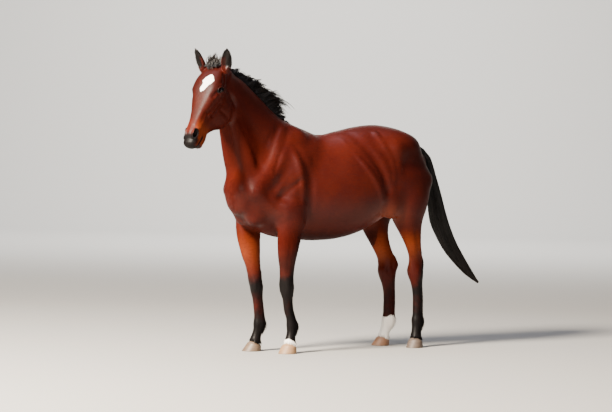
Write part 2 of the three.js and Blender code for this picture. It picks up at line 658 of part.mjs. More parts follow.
for (const leg of LEGS) {
  const [front, back] = leg.name.startsWith('fore') ? [-140, 150] : [-230, 150];
  const reach = leg.line.map((row) => row[1]);
  const xs = lattice([Math.min(...reach) + front, Math.max(...reach) + back, 36]);
  const ys = leg.side < 0 ? lattice([-290, -20, 30]) : lattice([20, 290, 30]);
  const upper = meshField(body, xs, ys, lattice([leg.middle - 70, leg.top + 80, 76]))
    .intersect(sideOf([0, 0, leg.top], [0, 0, -1]))
    .intersect(sideOf([0, 0, leg.middle], [0, 0, 1]));
  const lower = meshField(body, xs, ys, lattice([20, 240, 38], [240, leg.middle + 50, 64]))
    .intersect(sideOf([0, 0, leg.middle], [0, 0, -1]))
    .intersect(sideOf(leg.coronetPoint, leg.coronetFaces));
  const hoof = meshField(leg.horn, xs, ys, lattice([-40, 130, 40]), { offset: THIN_FACET })
    .intersect(sideOf([0, 0, FLOOR - GAP / 2], [0, 0, 1]))
    .intersect(sideOf(leg.coronetPoint, away(leg.coronetFaces)));
  const upperName = leg.name.startsWith('fore') ? 'forearm' : 'gaskin';
  addNode(`${leg.name}_${upperName}`, upper, BAY, 0.5);
  addNode(`${leg.name}_cannon`, lower, BLACK, 0.6);
  addNode(`${leg.name}_hoof`, hoof, HOOF_COLOUR[leg.name], 0.65);
}

const maneLattice = [lattice([-60, 900, 60]), lattice([-50, 50, 20]), lattice([20, 460, 42])];
const maneSolid = meshField(maneDistance, ...maneLattice, { offset: THIN_FACET, pose: maneLies });
addNode('mane', maneSolid.subtract(neckAround).subtract(headAround).subtract(trunkAround), BLACK, 0.8);
const forelockField = (x, y, z) => {
  const [s, v] = toHead(x, z);
  return forelockDistance(s, y, v);
};
const forelockLattice = [lattice([-1403, -1190, 30]), lattice([-84, 84, 24]), lattice([2022, 2246, 32])];
const forelockSolid = meshField(forelockField, ...forelockLattice, { offset: THIN_FACET });
addNode('forelock', forelockSolid.subtract(headAround), BLACK, 0.8);
const tailSolid = sweepSolid(TAIL, TAIL_FLAT, TAIL_RINGS, TAIL_SIDES).subtract(trunkAround);
addNode('tail', tailSolid, BLACK, 0.8);

// ---------------------------------------------------------------- the group
// The origin lies on the floor in the middle of the animal's box.
const bounds = new THREE.Box3();
for (const { solid } of nodes) {
  const box = solid.boundingBox();
  bounds.union(new THREE.Box3(new THREE.Vector3(...box.min), new THREE.Vector3(...box.max)));
}
const middle = bounds.getCenter(new THREE.Vector3());

// Cuts leave corners almost on top of each other: they are welded on a fine grid, and the faces that
// vanish with them, or close up on each other, are dropped.
function weldedGeometry(solid) {
  const { vertProperties, triVerts } = solid.getMesh();
  const corners = new Map();
  const positions = [];
  const numbered = [];
  for (let n = 0; n < vertProperties.length; n += 3) {
    const p = [0, 1, 2].map((i) => Math.round(vertProperties[n + i] / WELD) * WELD);
    const key = p.map((c) => Math.round(c / WELD)).join();
    if (!corners.has(key)) {
      corners.set(key, positions.length / 3);
      positions.push(...p);
    }
    numbered.push(corners.get(key));
  }
  const faces = new Map();
  for (let n = 0; n < triVerts.length; n += 3) {
    const face = [0, 1, 2].map((i) => numbered[triVerts[n + i]]);
    if (new Set(face).size < 3) continue;
    const key = [...face].sort((a, b) => a - b).join();
    if (faces.has(key)) faces.delete(key);
    else faces.set(key, face);
  }
  const geometry = new THREE.BufferGeometry();
  geometry.setAttribute('position', new THREE.Float32BufferAttribute(positions, 3));
  geometry.setIndex([...faces.values()].flat());
  geometry.computeVertexNormals();
  return geometry;
}

const horse = new THREE.Group();
for (const { name, solid, colour, roughness } of nodes) {
  const material = new THREE.MeshStandardMaterial({ color: colour, roughness, metalness: 0 });
  const mesh = new THREE.Mesh(weldedGeometry(solid), material);
  mesh.name = name;
  mesh.position.set(-middle.x, -middle.y, -FLOOR);
  horse.add(mesh);
}

export default horse;
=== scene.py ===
from math import atan, cos, pi, radians, sin

import bmesh
import bpy
import numpy as np
from mathutils import Matrix, Vector
from mathutils.kdtree import KDTree


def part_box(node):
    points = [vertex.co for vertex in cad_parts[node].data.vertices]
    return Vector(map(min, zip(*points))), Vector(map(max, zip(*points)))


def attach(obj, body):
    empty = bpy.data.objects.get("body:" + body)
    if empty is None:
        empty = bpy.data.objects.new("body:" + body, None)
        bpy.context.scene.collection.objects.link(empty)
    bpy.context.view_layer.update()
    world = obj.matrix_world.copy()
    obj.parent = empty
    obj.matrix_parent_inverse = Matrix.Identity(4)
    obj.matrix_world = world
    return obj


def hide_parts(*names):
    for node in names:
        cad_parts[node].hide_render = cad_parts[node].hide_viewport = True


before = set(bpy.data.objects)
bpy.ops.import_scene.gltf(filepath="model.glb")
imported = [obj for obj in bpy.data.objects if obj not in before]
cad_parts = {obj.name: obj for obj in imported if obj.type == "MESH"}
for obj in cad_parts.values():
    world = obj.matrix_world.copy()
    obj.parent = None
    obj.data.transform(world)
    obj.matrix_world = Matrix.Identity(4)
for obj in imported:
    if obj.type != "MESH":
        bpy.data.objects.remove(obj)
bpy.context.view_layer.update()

scene = bpy.context.scene


# -------------------------------- the body's shape
# A riding horse at life size, in millimetres: it faces -X, its left side is towards -Y and +Z is up.
# The body is worked out standing straight, as lofted forms with the large muscles melted in, and
# then its neck and head are turned to its left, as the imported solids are.
POLL = (-1290.0, 2112.0)  # top of the head, x and z
FACE_PITCH = radians(32.5)  # face line from the vertical
EYE_PLACE = (193.0, 105.0, -54.0)  # down the face, to the side, out of the forehead
EYE_RADIUS = 24.0
NECK_BASE = np.array((-640.0, 1450.0))
NECK_TOP = np.array((-1215.0, 1985.0))
TURN = radians(25.0)
BEND_START, BEND_LENGTH = -700.0, 560.0
BEND_LOW, BEND_RISE = 1150.0, 350.0

# trunk: x, top, widest level, bottom, half width, roundness above, below
TRUNK = (
    (-950, 1330, 1180, 1020, 150, 2.1, 2.1), (-880, 1455, 1195, 955, 190, 2.1, 2.1),
    (-800, 1545, 1215, 908, 212, 2.0, 2.1), (-690, 1630, 1230, 868, 226, 1.9, 2.1),
    (-560, 1675, 1225, 843, 234, 1.7, 2.1), (-420, 1650, 1205, 830, 248, 1.7, 2.1),
    (-270, 1617, 1190, 824, 268, 1.9, 2.1), (-90, 1650, 1190, 836, 286, 2.1, 2.1),
    (90, 1688, 1210, 880, 286, 2.2, 2.1), (260, 1705, 1270, 960, 270, 2.2, 2.1),
    (420, 1686, 1310, 1060, 246, 2.1, 2.1), (540, 1640, 1340, 1130, 205, 2.0, 2.1),
    (620, 1585, 1370, 1190, 150, 2.0, 2.1), (680, 1510, 1390, 1250, 95, 2.0, 2.0),
)
# neck: distance along its axis, then crest, axis and throat as offsets, half width, roundness
NECK = (
    (-120, 290, 0, -325, 200, 2.0, 2.0), (60, 248, 0, -300, 172, 1.9, 2.0),
    (240, 226, 0, -262, 140, 1.8, 2.1), (420, 214, 0, -154, 114, 1.8, 2.1),
    (600, 192, 0, -62, 94, 1.9, 2.1), (760, 150, 0, -62, 80, 2.0, 2.0),
)
# skull and lower jaw: distance down the face from the poll, front, middle, back, half width, roundness
SKULL = (
    (10, -6, -60, -130, 84, 2.4, 2.0), (60, 12, -55, -140, 97, 2.6, 2.2),
    (120, 26, -48, -150, 110, 2.9, 2.2), (180, 28, -48, -150, 117, 3.0, 2.2),
    (225, 22, -52, -150, 115, 3.0, 2.2), (290, 10, -55, -140, 95, 2.8, 2.2),
    (380, 0, -55, -125, 70, 2.6, 2.2), (460, -6, -58, -120, 58, 2.4, 2.2),
    (530, -8, -62, -122, 60, 2.3, 2.2), (580, -14, -66, -124, 64, 2.3, 2.2),
    (625, -34, -76, -124, 58, 2.2, 2.2),
)
JAW = (
    (110, -60, -140, -246, 80, 2.2, 2.2), (160, -60, -155, -322, 98, 2.5, 2.6),
    (220, -60, -165, -356, 106, 2.7, 2.7), (290, -60, -162, -354, 102, 2.5, 2.6),
    (350, -60, -150, -322, 88, 2.4, 2.4), (400, -60, -132, -262, 71, 2.2, 2.2),
    (480, -70, -118, -196, 56, 2.2, 2.2), (540, -80, -120, -198, 54, 2.2, 2.2),
    (595, -90, -124, -188, 50, 2.2, 2.2),
)
# ear: share of its length, half width, half thickness, and where it stands on the head
EAR = (
    (-0.15, 26, 24), (0, 33, 28), (0.25, 40, 27), (0.5, 38, 22), (0.72, 28, 16), (0.9, 15, 10), (1, 7, 6),
)
EAR_ROOT = np.array((17.0, 98.0, -38.0))
EAR_TIP = np.array((-86.0, 138.0, 92.0))
EAR_OPENS = np.array((0.35, 0.45, 1.0))
EAR_WALL = 7.0
# legs: height, centre and half depth along X, centre and half width outwards, roundness
FORELEG = (
    (50, -40, 52, 0, 54, 2.1), (92, -29, 43, 0, 44, 2.1), (125, -19, 38, 0, 37, 2.1),
    (165, -3, 42, 0, 38, 2.1), (207, 6, 49, 0, 42, 2.1), (250, 8, 43, 0, 35, 2.2),
    (310, 8, 41, 0, 33, 2.3), (395, 6, 42, 0, 35, 2.3), (440, 2, 47, 0, 48, 2.4),
    (485, 1, 50, 1, 58, 2.4), (525, -3, 52, 2, 57, 2.3), (575, -4, 54, 4, 52, 2.2),
    (640, -4, 62, 8, 52, 2.1), (700, -6, 74, 13, 56, 2.1), (760, -6, 84, 20, 62, 2.1),
    (830, -6, 94, 28, 66, 2.1), (900, 0, 104, 36, 68, 2.1), (980, 10, 114, 42, 70, 2.1),
    (1080, 0, 125, 40, 68, 2.1),
)
HINDLEG = (
    (50, -40, 51, 0, 52, 2.1), (92, -29, 43, 0, 44, 2.1), (125, -18, 42, 0, 39, 2.1),
    (165, -2, 47, 0, 41, 2.1), (207, 8, 55, 0, 46, 2.1), (250, 10, 49, 0, 39, 2.2),
    (310, 10, 48, 0, 36, 2.3), (430, 9, 49, 0, 37, 2.3), (500, 7, 56, 0, 44, 2.3),
    (550, 4, 66, 0, 54, 2.4), (600, 5, 76, 0, 56, 2.3), (650, 14, 84, 2, 50, 2.0),
    (695, 2, 76, 5, 46, 2.0), (745, -22, 74, 10, 50, 2.0), (820, -56, 84, 20, 60, 2.0),
    (900, -88, 104, 34, 74, 2.0), (980, -110, 130, 44, 90, 2.1), (1080, -112, 164, 48, 104, 2.1),
    (1200, -108, 186, 44, 110, 2.1), (1320, -118, 176, 34, 104, 2.1), (1430, -140, 130, 20, 80, 2.1),
)
# each leg: its rows, distance from the middle at heights, turn of the toe, the heights over which it
# untwists, how much lower its joints sit, how softly it joins the trunk, its side, and x at heights
FORE_SPREAD = ((0, 122), (500, 126), (950, 140))
HIND_SPREAD = ((0, 110), (600, 112), (1200, 114))
FORE = dict(rows=FORELEG, spread=FORE_SPREAD, toe_out=18, untwist=(300, 700), drop=0, blend=45)
HIND = dict(rows=HINDLEG, spread=HIND_SPREAD, toe_out=22, untwist=(650, 1000), blend=60)
LEGS = {
    "foreleg_left": dict(FORE, side=-1, line=(
        (0, -531), (207, -541), (330, -578), (485, -592), (700, -600), (950, -605), (1200, -625))),
    "foreleg_right": dict(FORE, side=1, line=(
        (0, -667), (207, -673), (400, -694), (490, -700), (610, -716), (720, -732), (950, -745),
        (1200, -735))),
    "hindleg_left": dict(HIND, side=-1, drop=0, line=(
        (0, 642), (207, 625), (400, 622), (600, 596), (1200, 594))),
    "hindleg_right": dict(HIND, side=1, drop=24, line=(
        (0, 509), (207, 505), (400, 507), (600, 487), (900, 500), (1200, 560))),
}
CORONET_LEVEL = 66.0  # height of the hair line over the middle of the hoof
CORONET_SLOPE = 0.28  # it falls towards the heel
CORONET_AHEAD = 29.0  # how far the hoof's middle stands ahead of the leg's line
# large muscles as tapered straps: ends, end radii, how softly they melt in
STRAPS = (
    ((-500, 70, 1590), (-800, 150, 1330), 55, 62, 60),  # shoulder blade
    ((-700, 128, 1440), (-905, 158, 1200), 60, 62, 55),  # down to the point of the shoulder
    ((-560, 120, 1400), (-610, 160, 1060), 95, 78, 60),  # triceps
    ((-905, 150, 1190), (-690, 165, 1040), 58, 66, 50),  # upper arm
    ((-945, 80, 1200), (-850, 80, 1010), 66, 70, 40),  # breast
    ((-900, 110, 1280), (-1110, 46, 1770), 62, 36, 70),  # arm and head muscle up the neck
    ((320, 205, 1520), (330, 175, 1230), 42, 60, 60),  # hip to stifle
    ((520, 95, 1530), (630, 120, 1290), 62, 90, 60),  # seat to thigh
)
BALLS = (
    ((360, 120, 1530), (230, 130, 130), 60),  # croup
    ((290, 205, 1110), (90, 62, 120), 55),  # stifle
    ((-590, 178, 985), (52, 42, 70), 40),  # elbow
)


def curve(rows, column=1):
    """A smooth curve through rows of knot and values; outside them it keeps the end values."""
    knots = np.array([row[0] for row in rows], float)
    values = np.array([row[column] for row in rows], float)
    slopes = np.zeros(len(knots))
    slopes[1:-1] = (values[2:] - values[:-2]) / (knots[2:] - knots[:-2])

    def at(s):
        s = np.clip(s, knots[0], knots[-1])
        i = np.clip(np.searchsorted(knots, s, side="right") - 1, 0, len(knots) - 2)
        h = knots[i + 1] - knots[i]
        t = (s - knots[i]) / h
        rise = t * t * (3 - 2 * t)
        return (values[i] + (values[i + 1] - values[i]) * rise
                + h * (t * (1 - t) ** 2 * slopes[i] - t * t * (1 - t) * slopes[i + 1]))
    return at


def fade(value, low, high):
    """0 below low, 1 above high, smooth between."""
    t = np.clip((value - low) / (high - low), 0, 1)
    return t * t * (3 - 2 * t)


def hill(*measures):
    """1 at a place, falling off around it; each measure is a value, where its middle is, its reach."""
    return np.exp(-sum(((value - middle) / reach) ** 2 for value, middle, reach in measures))


def highest(*values):
    return np.maximum.reduce(values)


def melt(a, b, k):
    """Joins two forms, given as distances; they flow together where both are nearer than k."""
    h = np.clip(0.5 + 0.5 * (b - a) / k, 0, 1)
    return b + (a - b) * h - k * h * (1 - h)


def carve(a, b, k):
    """Keeps what lies in both forms, with an edge rounded by k."""
    return -melt(-a, -b, k)


def section(across, half_across, along, half_along, roundness=2.0, over=0.0, end=1.0):
    """Distance to a superellipse section with a rounded end that starts over past the last one."""
    a, b, o = np.abs(across) / half_across, np.abs(along) / half_along, over / end
    q = a ** roundness + b ** roundness + 1e-9
    rho = np.sqrt(q ** (2 / roundness) + o * o)
    g = q ** (2 / roundness - 1) / rho
    ga = g * a ** (roundness - 1) / half_across
    gb = g * b ** (roundness - 1) / half_along
    return (rho - 1) / (np.sqrt(ga * ga + gb * gb + (o / rho / end) ** 2) + 2e-4)


def loft(stations, end_start, end_end):
    """A form along an axis from its stations; its two ends are rounded over these lengths."""
    top, middle, bottom, width, round_top, round_low = [curve(stations, c) for c in range(1, 7)]
    first, last = stations[0][0], stations[-1][0]

    def at(s, u, v):
        mid = middle(s)
        above = v > mid
        half = np.where(above, top(s) - mid, mid - bottom(s))
        over = np.maximum(np.maximum(first - s, s - last), 0)
        roundness = np.where(above, round_top(s), round_low(s))
        return section(u, width(s), v - mid, half, roundness, over, np.where(s < first, end_start, end_end))
    return at


def ball(p, centre, radii):
    """Distance to an egg with three radii."""
    a, b, c = [(p[i] - centre[i]) / radii[i] for i in range(3)]
    k = np.sqrt(a * a + b * b + c * c) + 1e-9
    return k * (k - 1) / (np.sqrt((a / radii[0]) ** 2 + (b / radii[1]) ** 2 + (c / radii[2]) ** 2) + 1e-9)


def off_line(p, start, end):
    """Distance from a straight line between two points, and how far along it that is."""
    d = np.subtract(end, start).astype(float)
    t = np.clip(sum((p[i] - start[i]) * d[i] for i in range(3)) / (d @ d), 0, 1)
    return np.sqrt(sum((p[i] - start[i] - t * d[i]) ** 2 for i in range(3))), t


def in_axes(p, axes):
    """A place measured along three axes."""
    return [sum(p[i] * axis[i] for i in range(3)) for axis in axes]


def to_head(x, z):
    """Distance down the face from the poll, and out of the forehead."""
    dx, dz = x - POLL[0], z - POLL[1]
    return -dx * sin(FACE_PITCH) - dz * cos(FACE_PITCH), -dx * cos(FACE_PITCH) + dz * sin(FACE_PITCH)


def from_head(s, u, v):
    return np.stack([POLL[0] - s * sin(FACE_PITCH) - v * cos(FACE_PITCH), u + 0 * s,
                     POLL[1] - s * cos(FACE_PITCH) + v * sin(FACE_PITCH)], -1)


neck_along = (NECK_TOP - NECK_BASE) / np.linalg.norm(NECK_TOP - NECK_BASE)
neck_crest = np.array((neck_along[1], -neck_along[0]))


def to_neck(x, z):
    """Distance along the neck from its base, and towards its crest."""
    dx, dz = x - NECK_BASE[0], z - NECK_BASE[1]
    return dx * neck_along[0] + dz * neck_along[1], dx * neck_crest[0] + dz * neck_crest[1]


def from_neck(along, side, crest):
    return np.stack([NECK_BASE[0] + along * neck_along[0] + crest * neck_crest[0], side,
                     NECK_BASE[1] + along * neck_along[1] + crest * neck_crest[1]], -1)


def bend(p):
    """Straight pose to the turned one: the neck follows an arc, then the head runs on straight."""
    x, y, z = p[..., 0], p[..., 1], p[..., 2]
    turn = np.maximum(TURN * fade(z, BEND_LOW, BEND_LOW + BEND_RISE), 1e-6)
    s = BEND_START - x
    radius = BEND_LENGTH / turn
    angle = np.clip(s, 0, BEND_LENGTH) / radius
    over = np.maximum(s - BEND_LENGTH, 0)
    forward = np.where(s > 0, (radius + y) * np.sin(angle) + over * np.cos(angle), s)
    aside = np.where(s > 0, radius - (radius + y) * np.cos(angle) + over * np.sin(angle), -y)
    return np.stack([BEND_START - forward, -aside, z], -1)


ear_length = float(np.linalg.norm(EAR_TIP - EAR_ROOT))
ear_up = (EAR_TIP - EAR_ROOT) / ear_length
ear_front = EAR_OPENS - (EAR_OPENS @ ear_up) * ear_up
ear_front /= np.linalg.norm(ear_front)
ear_side = np.cross(ear_up, ear_front)
ear_width, ear_depth = curve(EAR, 1), curve(EAR, 2)


def to_ear(s, u, v):
    """Across the ear, out of its open front, and up it from its root."""
    p = (s - EAR_ROOT[0], u - EAR_ROOT[1], v - EAR_ROOT[2])
    return in_axes(p, (ear_side, ear_front, ear_up))


def ear(across, front, up, hollow):
    """The ear as a leaf, with its bowl let in by a share from 0 to 1."""
    t = up / ear_length
    width, depth = ear_width(t), ear_depth(t)
    over = np.maximum(np.maximum(t - 1, EAR[0][0] - t), 0) * ear_length
    leaf = section(across, width, front, depth, 2.0, over, 10.0)
    shut = np.maximum(np.maximum(0.15 - t, t - 0.85), 0) * ear_length
    bowl = section(across, np.maximum(width - EAR_WALL, 2), front - depth * (2.3 - 1.2 * hollow), depth)
    return carve(leaf, -(bowl + shut), 5)


# how softly neck, jaw, head and ears join what they stand on
NECK_JOIN, JAW_JOIN, HEAD_JOIN, EAR_JOIN = 90, 22, 26, 9
trunk, neck = loft(TRUNK, 62, 60), loft(NECK, 150, 60)
skull, jaw = loft(SKULL, 55, 44), loft(JAW, 40, 30)
for leg in LEGS.values():
    leg["x"], leg["y"] = curve(leg["line"]), curve(leg["spread"])
    leg["forms"] = [curve(leg["rows"], c) for c in range(1, 6)]


def smooth_head(s, u, v):
    """Distance to skull and lower jaw, before their relief."""
    return melt(skull(s, u, v), jaw(s, u, v), JAW_JOIN)


def leg_local(leg, x, y, z):
    """Forwards-backwards and outwards from the leg's own middle, turned with the toe."""
    twist = radians(leg["toe_out"]) * (1 - fade(z, *leg["untwist"]))
    u, v = x - leg["x"](z), leg["side"] * y - leg["y"](z)
    return u * np.cos(twist) - v * np.sin(twist), v * np.cos(twist) + u * np.sin(twist)


def hair_line(leg, u, z):
    """Height above the slanted line where the coat ends and the hoof begins."""
    return z - CORONET_LEVEL + CORONET_SLOPE * (u + CORONET_AHEAD)


def leg_flesh(leg, u, v, z):
    """Distance to a leg's smooth form."""
    level = z + leg["drop"] * np.clip(z / 600, 0, 1)
    centre_x, half_x, centre_y, half_y, roundness = [form(level) for form in leg["forms"]]
    low, high = leg["rows"][0][0], leg["rows"][-1][0]
    over = np.maximum(np.maximum(low - level, level - high), 0)
    return section(u - centre_x, half_x, v - centre_y, half_y, roundness, over, np.where(level < low, 12, 60))


# -------------------------------- relief under the skin
# What shows through a short coat: bones of the face, lids, nostrils, lips, tendons and the furrows
# between muscles. Each is a rise or a furrow along a line, or a form carved out of the head.
# furrows and rises on the body: points along them, width, depth (a rise is negative); both sides alike
FURROWS = (
    (((-1090, 96, 1720), (-1000, 104, 1560), (-870, 160, 1340)), 24, 7),  # jugular furrow
    (((-642, 110, 1685), (-723, 170, 1574), (-809, 200, 1427), (-900, 205, 1290)), 30, -4),  # shoulder's edge
    (((-700, 120, 1660), (-790, 175, 1530), (-880, 190, 1390)), 24, 6),  # in front of it
    (((-590, 120, 1665), (-660, 185, 1560), (-745, 208, 1440), (-790, 215, 1340)), 15, 4),  # skin folds there
    (((-655, 110, 1690), (-745, 160, 1590), (-830, 180, 1480)), 12, 3.5),
    (((-760, 120, 1640), (-850, 165, 1500), (-920, 175, 1370)), 14, 3.5),
    (((-560, 190, 1440), (-760, 222, 1180)), 15, -4),  # spine of the shoulder blade
    (((-720, 232, 1160), (-560, 236, 1280)), 24, 6),  # above the triceps
    (((-606, 235, 1503), (-570, 250, 1394), (-538, 252, 1247), (-530, 242, 1099), (-560, 225, 974)), 30, -8),
    (((-570, 220, 1540), (-500, 250, 1394), (-466, 256, 1247), (-468, 246, 1060), (-500, 225, 930)), 30, 9),
    (((-700, 228, 1020), (-800, 205, 930)), 16, 6),  # upper arm and forearm
    (((-905, 10, 1250), (-920, 16, 1060)), 20, 9),  # between the breast muscles
    (((-1010, 120, 1260), (-930, 165, 1080), (-850, 165, 940)), 22, 9),  # breast and upper arm
    (((-960, 60, 1290), (-985, 95, 1180), (-930, 110, 1040)), 18, -6),  # breast muscle
    (((-870, 215, 1230), (-800, 225, 1120), (-700, 228, 1050)), 20, 5),  # shoulder and arm
    (((-470, 190, 905), (-300, 240, 930), (-120, 250, 965)), 18, -4),  # chest vein
    (((-153, 120, 1640), (-100, 235, 1530), (-30, 270, 1436), (50, 280, 1339), (118, 270, 1242),
      (165, 255, 1130)), 20, -9),  # edge of the ribs
    (((-60, 110, 1680), (20, 225, 1560), (100, 262, 1440), (165, 258, 1330), (205, 245, 1210)), 36, 13),
    (((163, 160, 1640), (200, 215, 1540), (255, 240, 1438), (276, 246, 1325), (262, 240, 1180),
      (235, 226, 1060)), 20, -10),  # front of hip and thigh
    (((360, 222, 1400), (400, 208, 1130)), 26, 6),  # along the thigh
    (((560, 170, 1440), (600, 188, 1060)), 22, 8),  # seat and thigh muscle
    (((640, 110, 1200), (600, 128, 960)), 22, 7),  # down the back of the thigh
    (((420, 205, 1000), (520, 160, 880)), 18, 6),  # above the gaskin
    (((-560, 0, 1672), (-250, 0, 1620)), 24, -5),  # spine behind the withers
    (((330, 0, 1700), (560, 0, 1650)), 26, 6),  # middle of the croup
)
# the same on each foreleg and hind leg, in the leg's own forwards, outwards and height
FORELEG_FURROWS = (
    # tendon and cannon bone, knee bones, forearm muscles, back of the knee, fetlock
    (((16, 30, 270), (15, 32, 400)), 6, 5), (((-14, 27, 290), (-12, 30, 400)), 8, -2),
    (((-30, 46, 455), (-30, 48, 520)), 11, -4), (((24, 40, 440), (26, 44, 530)), 9, 4),
    (((-8, 48, 470), (-8, 50, 505)), 6, 3),
    (((20, 62, 620), (34, 100, 800)), 11, 7), (((-32, 55, 600), (-30, 90, 800)), 11, 5),
    (((56, 10, 545), (50, 14, 590)), 13, -5),
    (((42, 0, 196), (40, 0, 214)), 14, -6), (((24, 34, 190), (26, 34, 222)), 11, -4),
    (((-10, 34, 160), (-2, 38, 200)), 9, 3),
)
HINDLEG_FURROWS = (
    # tendon and cannon bone, point and string of the hock, its bones, gaskin muscles, fetlock
    (((18, 32, 270), (17, 34, 470)), 6, 5), (((-16, 29, 290), (-14, 31, 470)), 8, -2),
    (((60, 8, 640), (78, 6, 700)), 16, -6), (((34, 44, 600), (52, 40, 720)), 11, 8),
    (((-26, 46, 560), (-30, 46, 600)), 12, -5), (((0, 52, 580), (8, 52, 640)), 10, 4),
    (((-52, 10, 600), (-44, 10, 650)), 14, 4),
    (((-40, 60, 760), (-90, 100, 900)), 13, 6), (((20, 52, 760), (-10, 90, 900)), 13, 6),
    (((46, 0, 196), (44, 0, 214)), 14, -6), (((26, 36, 190), (28, 36, 222)), 11, -4),
    (((-10, 36, 160), (-2, 40, 200)), 9, 3),
)
# on the head: down the face, to the side, out of the forehead
HEAD_FURROWS = (
    (((236, 104, -92), (300, 92, -88), (385, 66, -80)), 10, -6),  # cheek bone ridge
    (((262, 98, -118), (372, 70, -108)), 13, 9),  # under it
    (((238, 102, -66), (300, 88, -64), (380, 66, -58)), 12, 4),  # over it
    (((150, 104, -170), (186, 106, -290)), 18, -4),  # edge of the cheek muscle
    (((205, 108, -160), (235, 108, -245)), 34, -4),  # cheek muscle
    (((300, 98, -150), (285, 98, -265)), 15, 5),  # in front of it
    (((395, 46, -6), (480, 40, -8)), 14, -1.6),  # nose bone
    (((390, 62, -38), (500, 52, -38)), 17, 4.5),  # hollow beside the nose bone
    (((330, 84, -44), (400, 68, -52), (470, 54, -62)), 5.5, -2.4),  # face vein
    (((70, 98, -46), (112, 100, -66), (140, 104, -56)), 17, 12),  # hollow over the eye
    (((150, 112, -40), (176, 116, -24), (206, 112, -20)), 12, -5),  # brow bone
    (((226, 104, -22), (266, 90, -18)), 15, 7),  # in front of the eye
    (((100, 36, 22), (170, 32, 27)), 24, -2.5),  # forehead
    (((520, 18, -8), (566, 20, -10)), 12, 2.5),  # between the nostrils
)
# the eye looks out and forwards; its slit runs up and back, as shares of s, u and v
EYE_LOOKS = np.array((0.0, 0.80, 0.60))
EYE_BACK = np.array((-0.79, 0.368, -0.49))
EYE_UP = np.cross(EYE_LOOKS, EYE_BACK)
EYE_HALF = (23.0, 13.0)
# the nostril opens out and forwards; its long way runs down the face
NOSTRIL = np.array((574.0, 54.0, -30.0))
NOSTRIL_FACES = np.array((0.30, 0.76, 0.57))
NOSTRIL_LONG = np.array((0.93, -0.16, -0.28))
NOSTRIL_HALF = (33.0, 14.5, 40.0)
MOUTH = ((490, -116), (530, -113), (575, -112), (605, -106), (640, -98))


def furrow(f, p, lines, share):
    """Lets furrows into a form, or raises them, by a share of their depth."""
    for path, width, depth in lines:
        away = off_line(p, path[0], path[1])[0]
        for start, end in zip(path[1:], path[2:]):
            away = np.minimum(away, off_line(p, start, end)[0])
        near = away < width * 2.6
        f[near] += share * depth * np.exp(-(away[near] / width) ** 2)
    return f


def eye_frame(s, u, v):
    """Back along the slit, up across it, and out of the eye, from the eyeball's middle."""
    p = (s - EYE_PLACE[0], u - EYE_PLACE[1], v - EYE_PLACE[2])
    return in_axes(p, (EYE_BACK, EYE_UP, EYE_LOOKS))


def eye_slit(along, across):
    """Distance to the almond between the lids."""
    return section(along, EYE_HALF[0], across - 1.5 * (1 - (along / EYE_HALF[0]) ** 2), EYE_HALF[1], 1.7)


def nostril(s, u, v, depth=1.0):
    """Distance to the nostril's hollow, a bent egg let in by a share of its depth."""
    p = (s - NOSTRIL[0], u - NOSTRIL[1] - 5, v - NOSTRIL[2] - 4)
    long, short, out = in_axes(p, nostril_axes)
    short = short + 6.0 * (long / NOSTRIL_HALF[0]) ** 2
    return ball((long, short, out), (0, 0, 0), (NOSTRIL_HALF[0], NOSTRIL_HALF[1], NOSTRIL_HALF[2] * depth))


def face(f, s, u, v, share):
    """Lids, nostril, mouth and bones of the face, let in by a share from 0 to 1."""
    f = furrow(f, (s, u, v), HEAD_FURROWS, share)
    along, across, out = eye_frame(s, u, v)
    lids = ball((s, u, v), EYE_PLACE, (EYE_RADIUS + 7.5,) * 3)
    f = melt(f, lids, 16)
    slit = eye_slit(along, across)
    near = (out > -30) & (np.abs(along) < 60) & (np.abs(across) < 50)
    rim = hill((slit, 5.5, 3.0))
    fold = hill((slit, 13, 3.0)) * fade(across, -4, 8)
    under = hill((slit, 15, 4.5)) * fade(-across, 2, 10)
    f = f + np.where(near, share * (3.6 * fold + 2.4 * under - 1.6 * rim), 0)
    hole = np.maximum(slit, EYE_RADIUS + 8 - 18.5 * share - out)
    f = carve(f, -hole, 2.5)
    # the wing of the nostril, then its opening, which runs in and down
    wing = ball((s, u, v), NOSTRIL + (2, -8, -6), (44, 30, 32))
    f = melt(f, wing + 6, 16)
    opening = nostril(s, u, v, 0.25 + 0.75 * share)
    f = f - 2.5 * share * hill((opening, 6, 5)) * (s > 480)
    f = carve(f, -opening, 4)
    line = v - mouth_line(s)
    slot = hill((line, 0, 3.2)) * fade(s, 497, 515)
    return f + share * 5.5 * slot - share * 2.0 * hill((line, -11, 7.0)) * fade(s, 510, 540)


mouth_line = curve(MOUTH)
nostril_out = NOSTRIL_FACES / np.linalg.norm(NOSTRIL_FACES)
nostril_long = NOSTRIL_LONG - (NOSTRIL_LONG @ nostril_out) * nostril_out
nostril_long /= np.linalg.norm(nostril_long)
nostril_axes = (nostril_long, np.cross(nostril_out, nostril_long), nostril_out)
HEAD_BACK, HEAD_LOW = -1040.0, 1380.0  # the face lies ahead of and above these


